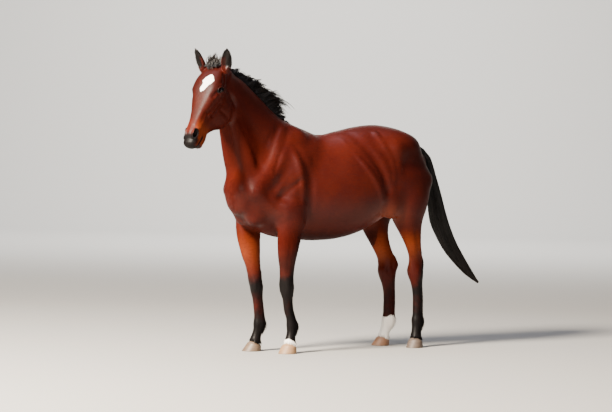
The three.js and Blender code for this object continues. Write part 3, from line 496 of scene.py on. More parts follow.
def body(x, y, z, share=1.0, depth=0.0):
    """Distance to the coat's outer surface, less a depth; share brings the fine relief in."""
    side = np.abs(y)
    p = (x, side, z)
    f = trunk(x, side, z)
    for start, end, r0, r1, k in STRAPS:
        away, t = off_line(p, start, end)
        f = melt(f, away - (r0 + (r1 - r0) * t), k)
    for centre, radii, k in BALLS:
        f = melt(f, ball(p, centre, radii), k)
    along, crest = to_neck(x, z)
    f = melt(f, neck(along, side, crest), NECK_JOIN)
    if share > 0:
        f = furrow(f, p, FURROWS, share)
    s, v = to_head(x, z)
    head = smooth_head(s, side, v)
    at_head = (x < HEAD_BACK) & (z > HEAD_LOW)
    if share > 0 and at_head.any():
        head[at_head] = face(head[at_head], s[at_head], side[at_head], v[at_head], share)
    f = melt(f, head, HEAD_JOIN)
    f = melt(f, ear(*to_ear(s, side, v), share), EAR_JOIN)
    for name, leg in LEGS.items():
        reach = (z < 1500) & (y * leg["side"] > -60) & (np.abs(x - leg["x"](z)) < 420)
        if not reach.any():
            continue
        xs, ys, zs = x[reach], y[reach], z[reach]
        u, w = leg_local(leg, xs, ys, zs)
        flesh = leg_flesh(leg, u, w, zs)
        if share > 0:
            lines = FORELEG_FURROWS if name.startswith("fore") else HINDLEG_FURROWS
            flesh = furrow(flesh, (u, np.abs(w), zs), lines, share)
        flesh = carve(flesh, -hair_line(leg, u, zs), 4)
        f[reach] = melt(f[reach], flesh, leg["blend"])
    return f + depth


# -------------------------------- the skin
# One unbroken hide over head, neck, trunk, legs and ears, a few millimetres inside the coat's
# surface. It is netted from the body's shape on a lattice, made finer on the head and finer still at
# the eyes, nostrils, mouth and ears, drawn onto the shape with its relief, and turned into the pose.
SKIN_DEPTH = 3.0  # millimetres of coat over it
NET = 12.0
LATTICE_SPANS = ((-1740, 780), (-315, 315 + NET), (14, 2260))
FINE_PLACES = (  # in the head's own frame: place and reach of the finest mesh
    ((193, 105, -54), 50), ((565, 52, -32), 54), ((17, 98, -38), 46), ((-20, 112, 10), 62),
    ((-64, 130, 62), 66),
)


def net_surface(values, axes):
    """Surface nets: one vertex in each cell that the surface crosses, one quad for each crossed edge."""
    inside = values < 0
    cells_shape = [n - 1 for n in values.shape]
    cells, points, quads = [], [], []
    for axis in range(3):
        low = [slice(None)] * 3
        high = [slice(None)] * 3
        low[axis], high[axis] = slice(0, -1), slice(1, None)
        at = list(np.nonzero(inside[tuple(low)] != inside[tuple(high)]))
        b, c = [d for d in range(3) if d != axis]
        keep = (at[b] > 0) & (at[b] < values.shape[b] - 1) & (at[c] > 0) & (at[c] < values.shape[c] - 1)
        at = [i[keep] for i in at]
        to = list(at)
        to[axis] = at[axis] + 1
        f0, f1 = values[tuple(at)], values[tuple(to)]
        share = (f0 / (f0 - f1))[:, None]
        start = np.stack([axes[d][at[d]] for d in range(3)], 1)
        end = np.stack([axes[d][to[d]] for d in range(3)], 1)
        crossing = start + share * (end - start)
        ring = []
        for db, dc in ((0, 0), (1, 0), (1, 1), (0, 1)):
            cell = list(at)
            cell[b], cell[c] = at[b] - db, at[c] - dc
            ring.append((cell[0] * cells_shape[1] + cell[1]) * cells_shape[2] + cell[2])
            cells.append(ring[-1])
            points.append(crossing)
        quad = np.stack(ring, 1)
        outwards = inside[tuple(at)] != (axis == 1)
        quad[~outwards] = quad[~outwards][:, ::-1]
        quads.append(quad)
    cells, points = np.concatenate(cells), np.concatenate(points)
    used, number = np.unique(cells, return_inverse=True)
    count = np.bincount(number)
    vertices = np.stack([np.bincount(number, points[:, d]) / count for d in range(3)], 1)
    return vertices, np.searchsorted(used, np.concatenate(quads))


def settle(field, points, steps=2, most=6.0, reach=0.8):
    """Moves points onto the field's zero; also gives the way out of the surface at each."""
    out = np.zeros_like(points)
    for _ in range(steps):
        x, y, z = points.T
        f = field(x, y, z)
        slope = np.stack([field(x + reach, y, z), field(x, y + reach, z), field(x, y, z + reach)], 1)
        slope = (slope - f[:, None]) / reach
        steep = (slope ** 2).sum(1, keepdims=True) + 1e-6
        move = -f[:, None] * slope / steep
        length = np.linalg.norm(move, axis=1, keepdims=True)
        points = points + move * np.minimum(1, most / (length + 1e-9))
        out = slope / np.sqrt(steep)
    return points, out


def even_out(points, edges, share=0.5):
    """Draws each point towards the middle of its neighbours, which evens the mesh out."""
    n = len(points)
    count = np.bincount(edges.ravel(), minlength=n)[:, None]
    total = np.stack([np.bincount(edges[:, 0], points[edges[:, 1], d], n)
                      + np.bincount(edges[:, 1], points[edges[:, 0], d], n) for d in range(3)], 1)
    return points + share * (total / count - points)


def mesh_of(name, points, faces):
    made = bpy.data.meshes.new(name)
    made.from_pydata(points, [], faces)
    made.update()
    return made


def read(items, what, width=1, kind=float):
    """A value or a row of values of every item of a mesh."""
    values = np.empty(len(items) * width, kind)
    items.foreach_get(what, values)
    return values.reshape(-1, width)


def smooth_body(x, y, z):
    return body(x, y, z, 0.0, SKIN_DEPTH)


lattice = [np.arange(low, high, NET) for low, high in LATTICE_SPANS]
grid = np.meshgrid(*lattice, indexing="ij")
values = smooth_body(*[axis.ravel() for axis in grid]).reshape(grid[0].shape)
skin_points, skin_quads = net_surface(values, lattice)
skin_edges = np.concatenate([skin_quads[:, [0, 1]], skin_quads[:, [1, 2]]])
for _ in range(2):
    skin_points = even_out(skin_points, skin_edges)
    skin_points, _ = settle(smooth_body, skin_points, 1)

# the coarse hide is unwrapped, and its map is carried along as the mesh is made finer
skin_mesh = mesh_of("skin", skin_points, skin_quads.tolist())
skin = bpy.data.objects.new("skin", skin_mesh)
scene.collection.objects.link(skin)
skin.select_set(True)
bpy.context.view_layer.objects.active = skin
bpy.ops.object.mode_set(mode="EDIT")
bpy.ops.mesh.select_all(action="SELECT")
bpy.ops.uv.smart_project(angle_limit=radians(66), island_margin=0.002)
bpy.ops.object.mode_set(mode="OBJECT")
skin_mesh.uv_layers[0].name = "OFBake"

hide = bmesh.new()
hide.from_mesh(skin_mesh)
for fineness in (1, 2):
    hide.verts.ensure_lookup_table()
    places = np.array([v.co for v in hide.verts])
    s, v = to_head(places[:, 0], places[:, 2])
    if fineness == 1:
        wanted = (s > -190) & (s < 680) & (places[:, 0] < -1010) & (v > -330)
    else:
        wanted = np.zeros(len(places), bool)
        for place, reach in FINE_PLACES:
            side = np.abs(places[:, 1])
            away = np.sqrt((s - place[0]) ** 2 + (side - place[1]) ** 2 + (v - place[2]) ** 2)
            wanted |= away < reach
        wanted |= (s > 500) & (np.abs(v - mouth_line(s)) < 20)
    edges = [e for e in hide.edges if wanted[e.verts[0].index] and wanted[e.verts[1].index]]
    bmesh.ops.subdivide_edges(hide, edges=edges, cuts=1, use_grid_fill=True, smooth=0)
bmesh.ops.triangulate(hide, faces=[f for f in hide.faces if len(f.verts) > 4])
hide.to_mesh(skin_mesh)
hide.free()

skin_points = read(skin_mesh.vertices, "co", 3)
skin_edges = read(skin_mesh.edges, "vertices", 2, int)

# the head is drawn onto its relief in steps, so that lids, nostrils and ears open without folding
on_head = np.nonzero((skin_points[:, 0] < -1030) & (skin_points[:, 2] > 1400))[0]
for share in (0.0, 0.2, 0.4, 0.6, 0.8, 1.0, 1.0):
    evened = even_out(skin_points, skin_edges, 0.4)
    skin_points[on_head] = evened[on_head]
    skin_points[on_head], _ = settle(
        lambda x, y, z: body(x, y, z, share, SKIN_DEPTH), skin_points[on_head], 2, 5.0, 0.6)
skin_points, _ = settle(lambda x, y, z: body(x, y, z, 1.0, SKIN_DEPTH), skin_points, 2, 8.0)
# over neck and trunk the hide is drawn smooth where muscles meet; head, legs and ears keep their relief
slack = (fade(skin_points[:, 0], -1180, -980) * fade(skin_points[:, 2], 780, 960))[:, None]
loose = slack * (1 - fade(skin_points[:, 0], -860, -740))[:, None]
for share, drawn in ((0.5, slack), (-0.52, slack)) * 7 + ((0.5, loose), (-0.52, loose)) * 14:
    skin_points += drawn * (even_out(skin_points, skin_edges, share) - skin_points)
breast_end = hill((skin_points[:, 0], -905, 90), (skin_points[:, 2], 1220, 130))[:, None]
for _ in range(16):
    skin_points += breast_end * (even_out(skin_points, skin_edges, 0.5) - skin_points)
# The ear tips stay under their hair. The nostrils' wings are drawn in by up to 9 mm a side, which
# keeps the muzzle inside the solids' box: this width is fitted to the box, not to the photograph.
skin_points[:, 2] -= 5 * fade(skin_points[:, 2], 2205, 2233)
face_at, _ = to_head(skin_points[:, 0], skin_points[:, 2])
wing = np.clip(np.abs(skin_points[:, 1]) - 55, 0, None)
wing *= fade(face_at, 500, 540) * (skin_points[:, 0] < HEAD_BACK)
skin_points[:, 1] -= 0.7 * wing * np.sign(skin_points[:, 1])
# the hide standing straight: the coat's pattern is laid out here
straight_points = skin_points.copy()

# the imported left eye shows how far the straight, middle-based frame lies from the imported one
eye_low, eye_high = (np.array(corner) * 1000 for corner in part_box("eye_left"))
left_eye = bend(from_head(EYE_PLACE[0], -EYE_PLACE[1], EYE_PLACE[2]))
PLACE_SHIFT = (eye_low + eye_high) / 2 - left_eye


def placed(points):
    """Straight-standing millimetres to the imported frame's metres."""
    return (bend(np.asarray(points, float)) + PLACE_SHIFT) / 1000


skin_mesh.vertices.foreach_set("co", placed(straight_points).ravel())
skin_mesh.update()
skin_mesh.shade_smooth()


# -------------------------------- the studio
# A plain light floor that curves up behind, one strong soft light high ahead of the horse, weak ones
# above it and on its left, and one on the wall. The camera is far off, with a long lens.
CAMERA_TURN = radians(-34.0)  # seen from ahead of the left side
CAMERA_PLACE = (-9.834, -14.045, 1.6)
CAMERA_ROLL = atan(0.018)
CAMERA_LENS, CAMERA_SENSOR = 133.06, 36.0
CAMERA_RISE = -0.1127

away = Vector((-sin(CAMERA_TURN), cos(CAMERA_TURN), 0))
camera = bpy.data.objects.new("camera", bpy.data.cameras.new("camera"))
scene.collection.objects.link(camera)
camera.location = Vector(CAMERA_PLACE) + Vector(PLACE_SHIFT / 1000)
camera.rotation_mode = "QUATERNION"
roll = Matrix.Rotation(CAMERA_ROLL, 3, "Z")
camera.rotation_quaternion = (away.to_track_quat("-Z", "Y").to_matrix() @ roll).to_quaternion()
camera.data.lens, camera.data.sensor_width = CAMERA_LENS, CAMERA_SENSOR
camera.data.shift_y = CAMERA_RISE
camera.data.clip_end = 200
scene.camera = camera


def linear(colour):
    """An sRGB hex colour as linear values."""
    parts = [int(colour[i:i + 2], 16) / 255 for i in (1, 3, 5)]
    return tuple(c / 12.92 if c <= 0.04045 else ((c + 0.055) / 1.055) ** 2.4 for c in parts) + (1.0,)


def add(tree, kind, links=None, **settings):
    """Adds a node; links maps an input to a value, to another node's output or to a node (its first)."""
    node = tree.nodes.new(kind)
    for name, value in settings.items():
        setattr(node, name, value)
    for socket, value in (links or {}).items():
        if isinstance(value, bpy.types.Node):
            value = value.outputs[0]
        if isinstance(value, bpy.types.NodeSocket):
            tree.links.new(value, node.inputs[socket])
        else:
            node.inputs[socket].default_value = value
    return node


def layered(tree, ground, layers, **settings):
    """Colours laid over a ground one after another: by what, from, to, how much at most, colour."""
    ground = linear(ground)
    for value, low, high, most, colour in layers:
        share = add(tree, "ShaderNodeMapRange", {
            "Value": value, "From Min": low, "From Max": high, "To Max": most}, **settings)
        mixed = add(tree, "ShaderNodeMix", {0: share, 6: ground, 7: linear(colour)}, data_type="RGBA")
        ground = mixed.outputs[2]
    return ground


def new_material(name):
    """An empty material and its node tree."""
    made = bpy.data.materials.new(name)
    made.use_nodes = True
    made.node_tree.nodes.clear()
    return made, made.node_tree


# the floor: boards painted a light grey, matt enough to show a soft shadow and no mirror image
FLOOR_REACH, BACK_AT, BACK_RISE, BACK_CURVE = 40.0, 20.0, 12.0, 6.0
sweep = [(-FLOOR_REACH, 0.0), (BACK_AT, 0.0)]
for step in range(1, 17):
    angle = step / 16 * pi / 2
    sweep.append((BACK_AT + BACK_CURVE * sin(angle), BACK_CURVE * (1 - cos(angle))))
sweep.append((BACK_AT + BACK_CURVE, BACK_CURVE + BACK_RISE))
aside = Vector((away.y, -away.x, 0))
floor_points = [away * d + aside * w + Vector((0, 0, h))
                for d, h in sweep for w in (-FLOOR_REACH, FLOOR_REACH)]
floor_faces = [(2 * i, 2 * i + 1, 2 * i + 3, 2 * i + 2) for i in range(len(sweep) - 1)]
floor_mesh = mesh_of("floor", floor_points, floor_faces)
floor_mesh.shade_smooth()
floor = bpy.data.objects.new("floor", floor_mesh)
scene.collection.objects.link(floor)
paint, tree = new_material("matt floor paint")
shader = add(tree, "ShaderNodeBsdfPrincipled", {"Base Color": linear("#a9a7a3"), "Roughness": 0.85})
add(tree, "ShaderNodeOutputMaterial", {"Surface": shader})
floor_mesh.materials.append(paint)

world = bpy.data.worlds.new("studio")
world.use_nodes = True
world.node_tree.nodes["Background"].inputs["Color"].default_value = linear("#dfe5ee")
world.node_tree.nodes["Background"].inputs["Strength"].default_value = 0.07
scene.world = world
# lamps: where they hang and what they face in metres, size in metres, watts, colour
LAMPS = {
    "window light": ((-8.4, -1.9, 7.0), (-0.2, 0, 1.1), 2.6, 7200.0, "#fff2e0"),
    "sky light": ((-1.0, 1.0, 8.0), (0, 0.6, 0), 6.0, 380.0, "#e8eeff"),
    "side light": ((-1.6, -9.0, 4.6), (-0.3, 0, 1.3), 2.2, 220.0, "#fff0ec"),
    "wall light": ((8.0, 12.0, 12.0), (13.5, 20.0, 4.0), 8.0, 6500.0, "#ffffff"),
}
for name, (place, faced, size, watts, colour) in LAMPS.items():
    lamp = bpy.data.objects.new(name, bpy.data.lights.new(name, "AREA"))
    lamp.data.shape, lamp.data.size, lamp.data.energy = "DISK", size, watts
    lamp.data.color = linear(colour)[:3]
    lamp.location = place
    lamp.rotation_mode = "QUATERNION"
    lamp.rotation_quaternion = (Vector(faced) - Vector(place)).to_track_quat("-Z", "Y")
    scene.collection.objects.link(lamp)


# -------------------------------- the coat's pattern
# A dark red bay with black lower legs, ears and muzzle, a white star, one white sock and a white band
# over one hoof. It is laid out on the hide as it stands straight, with the way the hair lies, so that
# the tufts carry it as well. Painted light on the bridge of the nose, the gaskins and the right forearm
# and painted shade on the forehead, quarters, belly, back, neck and left forearm are laid in with it.
# each leg: black up to these heights in front and behind, how black, how much it fades on the cannon
LEG_POINTS = {
    "foreleg_left": (580, 640, 1.0, 0.25), "foreleg_right": (550, 600, 0.95, 0.50),
    "hindleg_left": (480, 690, 0.95, 0.25), "hindleg_right": (430, 560, 0.55, 0.0),
}
SOCK_TOP = 236.0
# the star: down the face and to the side
STAR = ((100, -38), (118, -58), (152, -74), (180, -62), (194, -46), (216, -30), (236, -14), (246, 8),
        (220, 20), (196, 8), (178, 4), (160, 16), (130, 0), (112, -20))


def off_outline(a, b, outline):
    """Distance outside a closed outline, negative inside it."""
    nearest = np.full(a.shape, np.inf)
    inside = np.zeros(a.shape, bool)
    for (a0, b0), (a1, b1) in zip(outline, outline[1:] + outline[:1]):
        t = np.clip(((a - a0) * (a1 - a0) + (b - b0) * (b1 - b0)) / ((a1 - a0) ** 2 + (b1 - b0) ** 2), 0, 1)
        nearest = np.minimum(nearest, np.hypot(a - a0 - t * (a1 - a0), b - b0 - t * (b1 - b0)))
        crosses = (b0 > b) != (b1 > b)
        at = a0 + (b - b0) / np.where(b1 == b0, 1e-9, b1 - b0) * (a1 - a0)
        inside ^= crosses & (a < at)
    return np.where(inside, -nearest, nearest)


x, y, z = straight_points.T
side = np.abs(y)
s, v = to_head(x, z)
neck_at, neck_height = to_neck(x, z)
on_head = (1 - fade(smooth_head(s, side, v), 2, 45)) * (x < HEAD_BACK) * (z > HEAD_LOW)
ear_across, ear_out, ear_at = to_ear(s, side, v)
on_ear = (1 - fade(ear(ear_across, ear_out, ear_at, 1.0), 0, 9)) * (s < 60) * (x < HEAD_BACK) * (z > 1800)
ear_share = ear_at / ear_length
ear_aside = ear_across / ear_width(ear_share)
in_ear = on_ear * fade(ear_out + 6, 0, 10) * (1 - fade(np.abs(ear_aside), 0.55, 0.85))
eye_along, eye_across, eye_out = eye_frame(s, side, v)
slit = np.where((eye_out > 0) & (on_head > 0.5), eye_slit(eye_along, eye_across), 999)
nose_hole = np.where((s > 480) & (on_head > 0.5), nostril(s, side, v), 999)
lips = np.where((s > 490) & (on_head > 0.5), np.abs(v - mouth_line(s)), 999)

white = np.full(len(x), -99.0)
black, on_leg, leg_back, leg_out = np.zeros((4, len(x)))
for name, leg in LEGS.items():
    u, w = leg_local(leg, x, y, z)
    mine = (z < 900) & (y * leg["side"] > 0) & (np.abs(u) < 260)
    front, behind, depth, faded = LEG_POINTS[name]
    back_share = fade(u, -50, 60)
    top = front + (behind - front) * back_share
    dark = depth * (1 - fade(z, top - 80, top + 80))
    dark = dark - faded * hill((z, 345, 85)) * (1 - 0.5 * back_share)
    black[mine] = np.maximum(black, dark)[mine]
    on_leg[mine] = (1 - fade(z, 620, 860))[mine]
    leg_back[mine] = back_share[mine]
    leg_out[mine] = w[mine]
    if name == "hindleg_right":
        white[mine] = (SOCK_TOP + 14 * np.sin(u / 17) - 10 * back_share - z)[mine]
    if name == "foreleg_left":
        white[mine] = (30 - hair_line(leg, u, z) - 20 * fade(u, -55, 40) + 4 * np.sin(w / 9))[mine]
star = np.where((v > -20) & (on_head > 0.5), -off_outline(s, y, STAR), -99)
white = np.maximum(white, star)

# ears darken to their tips and rims, with painted shade over the brown at their base; muzzle, lids and
# the root of the mane are dark too
ear_rim = fade(np.abs(ear_aside), 0.62, 0.95)
ear_brown = (1 - fade(ear_share, 0.38, 0.66)) * (1 - fade(ear_aside, -0.45, 0.3))
muzzle = fade(s + 0.22 * v, 540, 600) * on_head * (1 - 0.75 * fade(side, 30, 62) * fade(-v, 30, 95))
lid_rim = np.where((eye_out > 0) & (on_head > 0.5), section(eye_along + 3, 33, eye_across - 1, 16, 1.6), 999)
crest_near = (1 - fade(side, 16, 34)) * (neck_height > 60) * fade(neck_at, -60, 40) * (z > 1500)
black = highest(
    black, on_ear * (1 - 0.55 * ear_brown) * fade(ear_share, -0.02, 0.14), 0.92 * muzzle,
    0.95 * (1 - fade(nose_hole, 4, 15)), 0.85 * (1 - fade(lips, 5, 14)) * fade(s, 520, 560),
    1.1 * (1 - fade(lid_rim, 0, 7)), 0.9 * crest_near)
bare = highest(
    1 - fade(nose_hole, -3, 3), 1 - fade(slit, 2, 5.5), (1 - fade(lips, 1.5, 5)) * fade(s, 530, 570))

# paler, redder places: paler hair on the sides of the nose and the flank; painted light, lighter where
# the light falls, on the bridge of the nose, the right forearm and the gaskins, over paler hair on the
# gaskins
gaskin = fade(x, 300, 420)
tan = highest(
    0.6 * fade(s, 400, 520) * on_head * fade(side, 20, 46) * (1 - fade(muzzle, 0.3, 0.8)),
    0.2 * on_head * fade(v, -40, 10) * fade(s, 200, 330), 0.45 * hill((x, 250, 170), (z, 1010, 110)),
    0.6 * hill((z, 760, 130)) * gaskin * (1 - fade(leg_out, -10, 40)),
    0.8 * hill((z, 740, 110)) * gaskin * fade(y, 0, 40) * (1 - leg_back),
    0.5 * hill((z, 740, 150)) * (x < -300) * fade(y, 0, 40),
    0.65 * hill((z, 790, 110)) * gaskin * (1 - 0.5 * leg_back))
# painted shade: the coat darkened on the quarters, belly, back, forehead, left forearm and neck
deep = highest(
    0.5 * fade(x, 300, 560) * fade(z, 1000, 1300), 0.95 * (1 - fade(z, 840, 960)) * (np.abs(x + 100) < 480),
    0.35 * fade(z, 1560, 1680) * (x > -500), 0.7 * on_head * fade(v, -50, 0) * (1 - fade(s, 430, 520)),
    0.8 * on_leg * fade(z, 540, 640) * (x < -300) * (y < 0),
    0.45 * fade(neck_at, 40, 200) * (1 - on_head) * fade(neck_height, -60, 120))

# duller places: face, lower legs, underside, front of the neck, and the point of the shoulder
dull = highest(
    0.55 * on_head, 0.5 * on_leg, (1 - fade(z, 820, 1080)) * (1 - 0.6 * on_leg),
    fade(-neck_height, -10, 110) * (1 - on_head) * fade(-x, 740, 840)
    * (0.5 * fade(z, 850, 950) + 0.4 * fade(z, 1180, 1280)),
    0.5 * hill((x, -905, 80), (z, 1225, 100)))

# the way the hair lies: down the face, down and back over neck and trunk, down the legs, up the ears
up_ear = (from_head(*EAR_TIP) - from_head(*EAR_ROOT)) / ear_length
lie = np.stack([0.86 + 0 * x, 0 * x, -0.5 * fade(1700 - z, 60, 420)], 1)
for way, share in (((0.75, 0, -0.66), fade(neck_at, -120, 120) * (z > 1150)),
                   ((-sin(FACE_PITCH), 0, -cos(FACE_PITCH)), on_head),
                   ((0.12, 0, -1), fade(on_leg, 0.0, 0.8)), (up_ear, on_ear)):
    way = np.stack([way[0] + 0 * x, way[1] * np.sign(y), way[2] + 0 * x], 1)
    lie = lie + share[:, None] * (way - lie)
posed_lie = bend(straight_points + 0.5 * lie) - bend(straight_points - 0.5 * lie)
posed_lie /= np.linalg.norm(posed_lie, axis=1, keepdims=True)


def store(mesh, name, values, kind="FLOAT"):
    """Keeps one value or vector for each of a mesh's points."""
    made = mesh.attributes.new(name, kind, "POINT")
    what = "vector" if kind == "FLOAT_VECTOR" else "value"
    made.data.foreach_set(what, np.asarray(values, np.float32).ravel())


# the coat's marks, kept on the hide: markings, paler hair with painted light, painted shade, duller places
for name, values in (("black", black), ("white", np.clip(white / 24 + 0.5, 0, 1)), ("bare", bare),
                     ("tan", tan), ("deep", deep), ("dull", dull)):
    store(skin_mesh, name, values)
store(skin_mesh, "lie", posed_lie, "FLOAT_VECTOR")

# the coat of the hide and all its tufts: short, oiled summer hair, a deep red with a silky, broad
# highlight that is drawn out along the hairs
coat, tree = new_material("horse coat")
position = add(tree, "ShaderNodeTexCoord").outputs["Object"]
marks = {name: add(tree, "ShaderNodeAttribute", attribute_name=name).outputs["Fac"]
         for name in ("black", "white", "bare", "tan", "deep", "tone", "dull")}
# hairs 0.08 mm thick are too fine to show: streaks 5 to 7 mm across and 60 to 70 mm long stand for them
grain = {}
for name, turn, across, along in (("flank", 28, 7.0, 70.0), ("limb", 90, 5.0, 60.0)):
    turned = add(tree, "ShaderNodeMapping", {
        "Vector": position, "Rotation": (0, radians(turn), 0),
        "Scale": (1000 / along, 1000 / across, 1000 / across)})
    grain[name] = add(tree, "ShaderNodeTexNoise", {
        "Vector": turned, "Scale": 1.0, "Detail": 3.0, "Roughness": 0.6}).outputs["Fac"]
for name, size in (("broad", 230), ("fine", 34)):
    grain[name] = add(tree, "ShaderNodeTexNoise", {
        "Vector": position, "Scale": 1000 / size, "Detail": 2.0, "Roughness": 0.5}).outputs["Fac"]
# a marking has a frayed edge, where hairs of both colours mix
for mark, fine, flank in (("black", 0.5, 0.3), ("white", 0.16, 0.22)):
    for kind, share in (("fine", fine), ("flank", flank)):
        swing = add(tree, "ShaderNodeMath", {0: grain[kind], 1: 0.5}, operation="SUBTRACT")
        marks[mark] = add(tree, "ShaderNodeMath", {0: swing, 1: share, 2: marks[mark]},
                          operation="MULTIPLY_ADD")
# the coat's colour: ground, tone and streaks, paler hair with painted light, painted shade, then markings
hair = layered(tree, "#3b0e08", (
    (grain["broad"], 0.35, 0.68, 1.0, "#441208"), (marks["tan"], 0.0, 1.0, 1.0, "#83391a"),
    (marks["deep"], 0.0, 1.0, 0.85, "#1b0604"), (grain["flank"], 0.42, 0.72, 0.34, "#2c0804"),
    (grain["fine"], 0.5, 0.75, 0.18, "#4d1a0e"), (marks["tone"], 0.0, 1.0, 0.2, "#5c2212"),
    (marks["black"], 0.12, 0.92, 1.0, "#0c0909"), (marks["white"], 0.4, 0.6, 1.0, "#fbf8f3"),
    (marks["bare"], 0.2, 0.8, 1.0, "#110d0d")), interpolation_type="SMOOTHSTEP")
relief = add(tree, "ShaderNodeBump", {"Height": grain["flank"], "Strength": 0.22, "Distance": 0.0022})
relief = add(tree, "ShaderNodeBump", {
    "Height": grain["limb"], "Strength": 0.12, "Distance": 0.0016, "Normal": relief})
gloss = add(tree, "ShaderNodeMapRange", {
    "Value": grain["flank"], "From Min": 0.3, "From Max": 0.7, "To Min": 0.33, "To Max": 0.45})
# under the belly and throat and on the face the hair is less oiled and combed: rougher, with less gloss
gloss = add(tree, "ShaderNodeMath", {0: marks["dull"], 1: 0.12, 2: gloss}, operation="MULTIPLY_ADD")
sheen = add(tree, "ShaderNodeMath", {0: marks["dull"], 1: -0.18, 2: 0.20}, operation="MULTIPLY_ADD")
shader = add(tree, "ShaderNodeBsdfPrincipled", {
    "Base Color": hair, "Normal": relief, "Roughness": gloss, "Specular IOR Level": sheen})
add(tree, "ShaderNodeOutputMaterial", {"Surface": shader})
skin_mesh.materials.append(coat)
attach(skin, "root")
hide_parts("head", "neck", "trunk", "ear_left", "ear_right",
            *[f"{leg}_cannon" for leg in LEGS],
            "foreleg_left_forearm", "foreleg_right_forearm", "hindleg_left_gaskin", "hindleg_right_gaskin")


# -------------------------------- the eyes
# Two large wet eyeballs that bulge between their lids. Each is one closed ball with a low dome in front;
# the dark iris and the long level pupil are painted on it, under the gloss.
EYE_RINGS, EYE_SIDES = 40, 48
IRIS_REACH, PUPIL_HALF = 18.0, (11.0, 5.5)
EYE_MAP = 60.0  # millimetres across the eye's map
EYE_BEHIND = 0.02  # where the ball's hidden half lies on it


def solid_piece(name, points, faces, map_name, maps, material, node):
    """A closed piece with its faces outwards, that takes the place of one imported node."""
    mesh = mesh_of(name, placed(points), faces)
    shell = bmesh.new()
    shell.from_mesh(mesh)
    bmesh.ops.recalc_face_normals(shell, faces=shell.faces)
    shell.to_mesh(mesh)
    shell.free()
    layer = mesh.uv_layers.new(name=map_name)
    for loop in mesh.loops:
        layer.data[loop.index].uv = maps[loop.vertex_index]
    mesh.shade_smooth()
    mesh.materials.append(material)
    piece = bpy.data.objects.new(name, mesh)
    scene.collection.objects.link(piece)
    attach(piece, "root")
    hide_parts(node)


def ringed(rings, sides):
    """Quads between closed rings of points."""
    pairs = [(r * sides + k, r * sides + (k + 1) % sides) for r in range(rings - 1) for k in range(sides)]
    return [(a, b, b + sides, a + sides) for a, b in pairs]


def eye_piece(name, hand):
    points, maps = [], []
    for ring in range(1, EYE_RINGS):
        angle = pi * ring / EYE_RINGS
        reach = EYE_RADIUS - 0.7 + 0.5 * hill((angle, 0, 0.7))
        for turn in range(EYE_SIDES):
            around = 2 * pi * turn / EYE_SIDES
            along, across = reach * (sin(angle) * cos(around)), reach * (sin(angle) * sin(around))
            out = reach * cos(angle)
            s, u, v = np.array(EYE_PLACE) + along * EYE_BACK + across * EYE_UP + out * EYE_LOOKS
            points.append(from_head(s, hand * u, v))
            maps.append((0.5 + along / EYE_MAP, 0.5 + across / EYE_MAP if angle < pi / 2 else EYE_BEHIND))
    for end in (1, -1):
        s, u, v = np.array(EYE_PLACE) + end * (EYE_RADIUS - 0.2) * EYE_LOOKS
        points.append(from_head(s, hand * u, v))
        maps.append((0.5, 0.5 if end > 0 else EYE_BEHIND))
    faces = ringed(EYE_RINGS - 1, EYE_SIDES)
    front = len(points) - 2
    last = front - EYE_SIDES
    faces += [(front, (k + 1) % EYE_SIDES, k) for k in range(EYE_SIDES)]
    faces += [(front + 1, last + k, last + (k + 1) % EYE_SIDES) for k in range(EYE_SIDES)]
    if hand < 0:
        faces = [face[::-1] for face in faces]
    solid_piece(name, points, faces, "eye_map", maps, wet_eye, name.replace("eyeball", "eye"))


# a wet cornea over a dark brown iris: almost black, with one sharp highlight
wet_eye, tree = new_material("wet eye")
place = add(tree, "ShaderNodeUVMap", uv_map="eye_map")
centred = add(tree, "ShaderNodeVectorMath", {0: place, 1: (0.5, 0.5, 0)}, operation="SUBTRACT")
in_mm = add(tree, "ShaderNodeVectorMath", {0: centred, 3: EYE_MAP}, operation="SCALE")
from_middle = add(tree, "ShaderNodeVectorMath", {0: in_mm}, operation="LENGTH").outputs["Value"]
squeezed = add(tree, "ShaderNodeVectorMath", {0: in_mm, 1: (1 / PUPIL_HALF[0], 1 / PUPIL_HALF[1], 0)},
               operation="MULTIPLY")
in_pupil = add(tree, "ShaderNodeVectorMath", {0: squeezed}, operation="LENGTH").outputs["Value"]
fibres = add(tree, "ShaderNodeTexNoise", {"Vector": squeezed, "Scale": 3.0, "Detail": 4.0}).outputs["Fac"]
iris = layered(tree, "#0d0704", (
    (fibres, 0.3, 0.7, 1.0, "#1b0e07"), (in_pupil, 1.15, 0.9, 1.0, "#04050a"),
    (from_middle, IRIS_REACH - 1.5, IRIS_REACH + 1.0, 1.0, "#0f0a09")))
shader = add(tree, "ShaderNodeBsdfPrincipled", {
    "Base Color": iris, "Roughness": 0.25, "Specular IOR Level": 0.12, "Coat Weight": 0.3,
    "Coat Roughness": 0.03})
add(tree, "ShaderNodeOutputMaterial", {"Surface": shader})
eye_piece("eyeball_left", -1)
eye_piece("eyeball_right", 1)


# -------------------------------- the hooves
# Each foot ends in a horn capsule that slopes forwards from the hair line to the ground, with fine
# growth rings and, behind, two rounded heel bulbs. It wears flat on the ground, so it is a closed shell.
HOOF_TOE, HOOF_LEAN, HOOF_HEIGHT = -58.0, 29.0, 80.0
HORN_UNDER = 3.0  # the horn ends this far below the hair line, inside the hair
HOOF_SIZES = {"foreleg": (74.0, 67.0), "hindleg": (72.0, 63.0)}
CORONET_HALF = (44.0, 50.0)
HOOF_LEVELS, HOOF_SIDES = 26, 72
GROWTH_RINGS = 52.0  # in radians, so some eight rings up the wall
WALL_MAP = 100.0  # millimetres of height in the wall's map
HOOF_COLOURS = {
    "foreleg_left": ("#a5825f", "#7d5f42"), "foreleg_right": ("#74604d", "#4e3e31"),
    "hindleg_left": ("#64564b", "#433730"), "hindleg_right": ("#9c7459", "#73513a"),
}


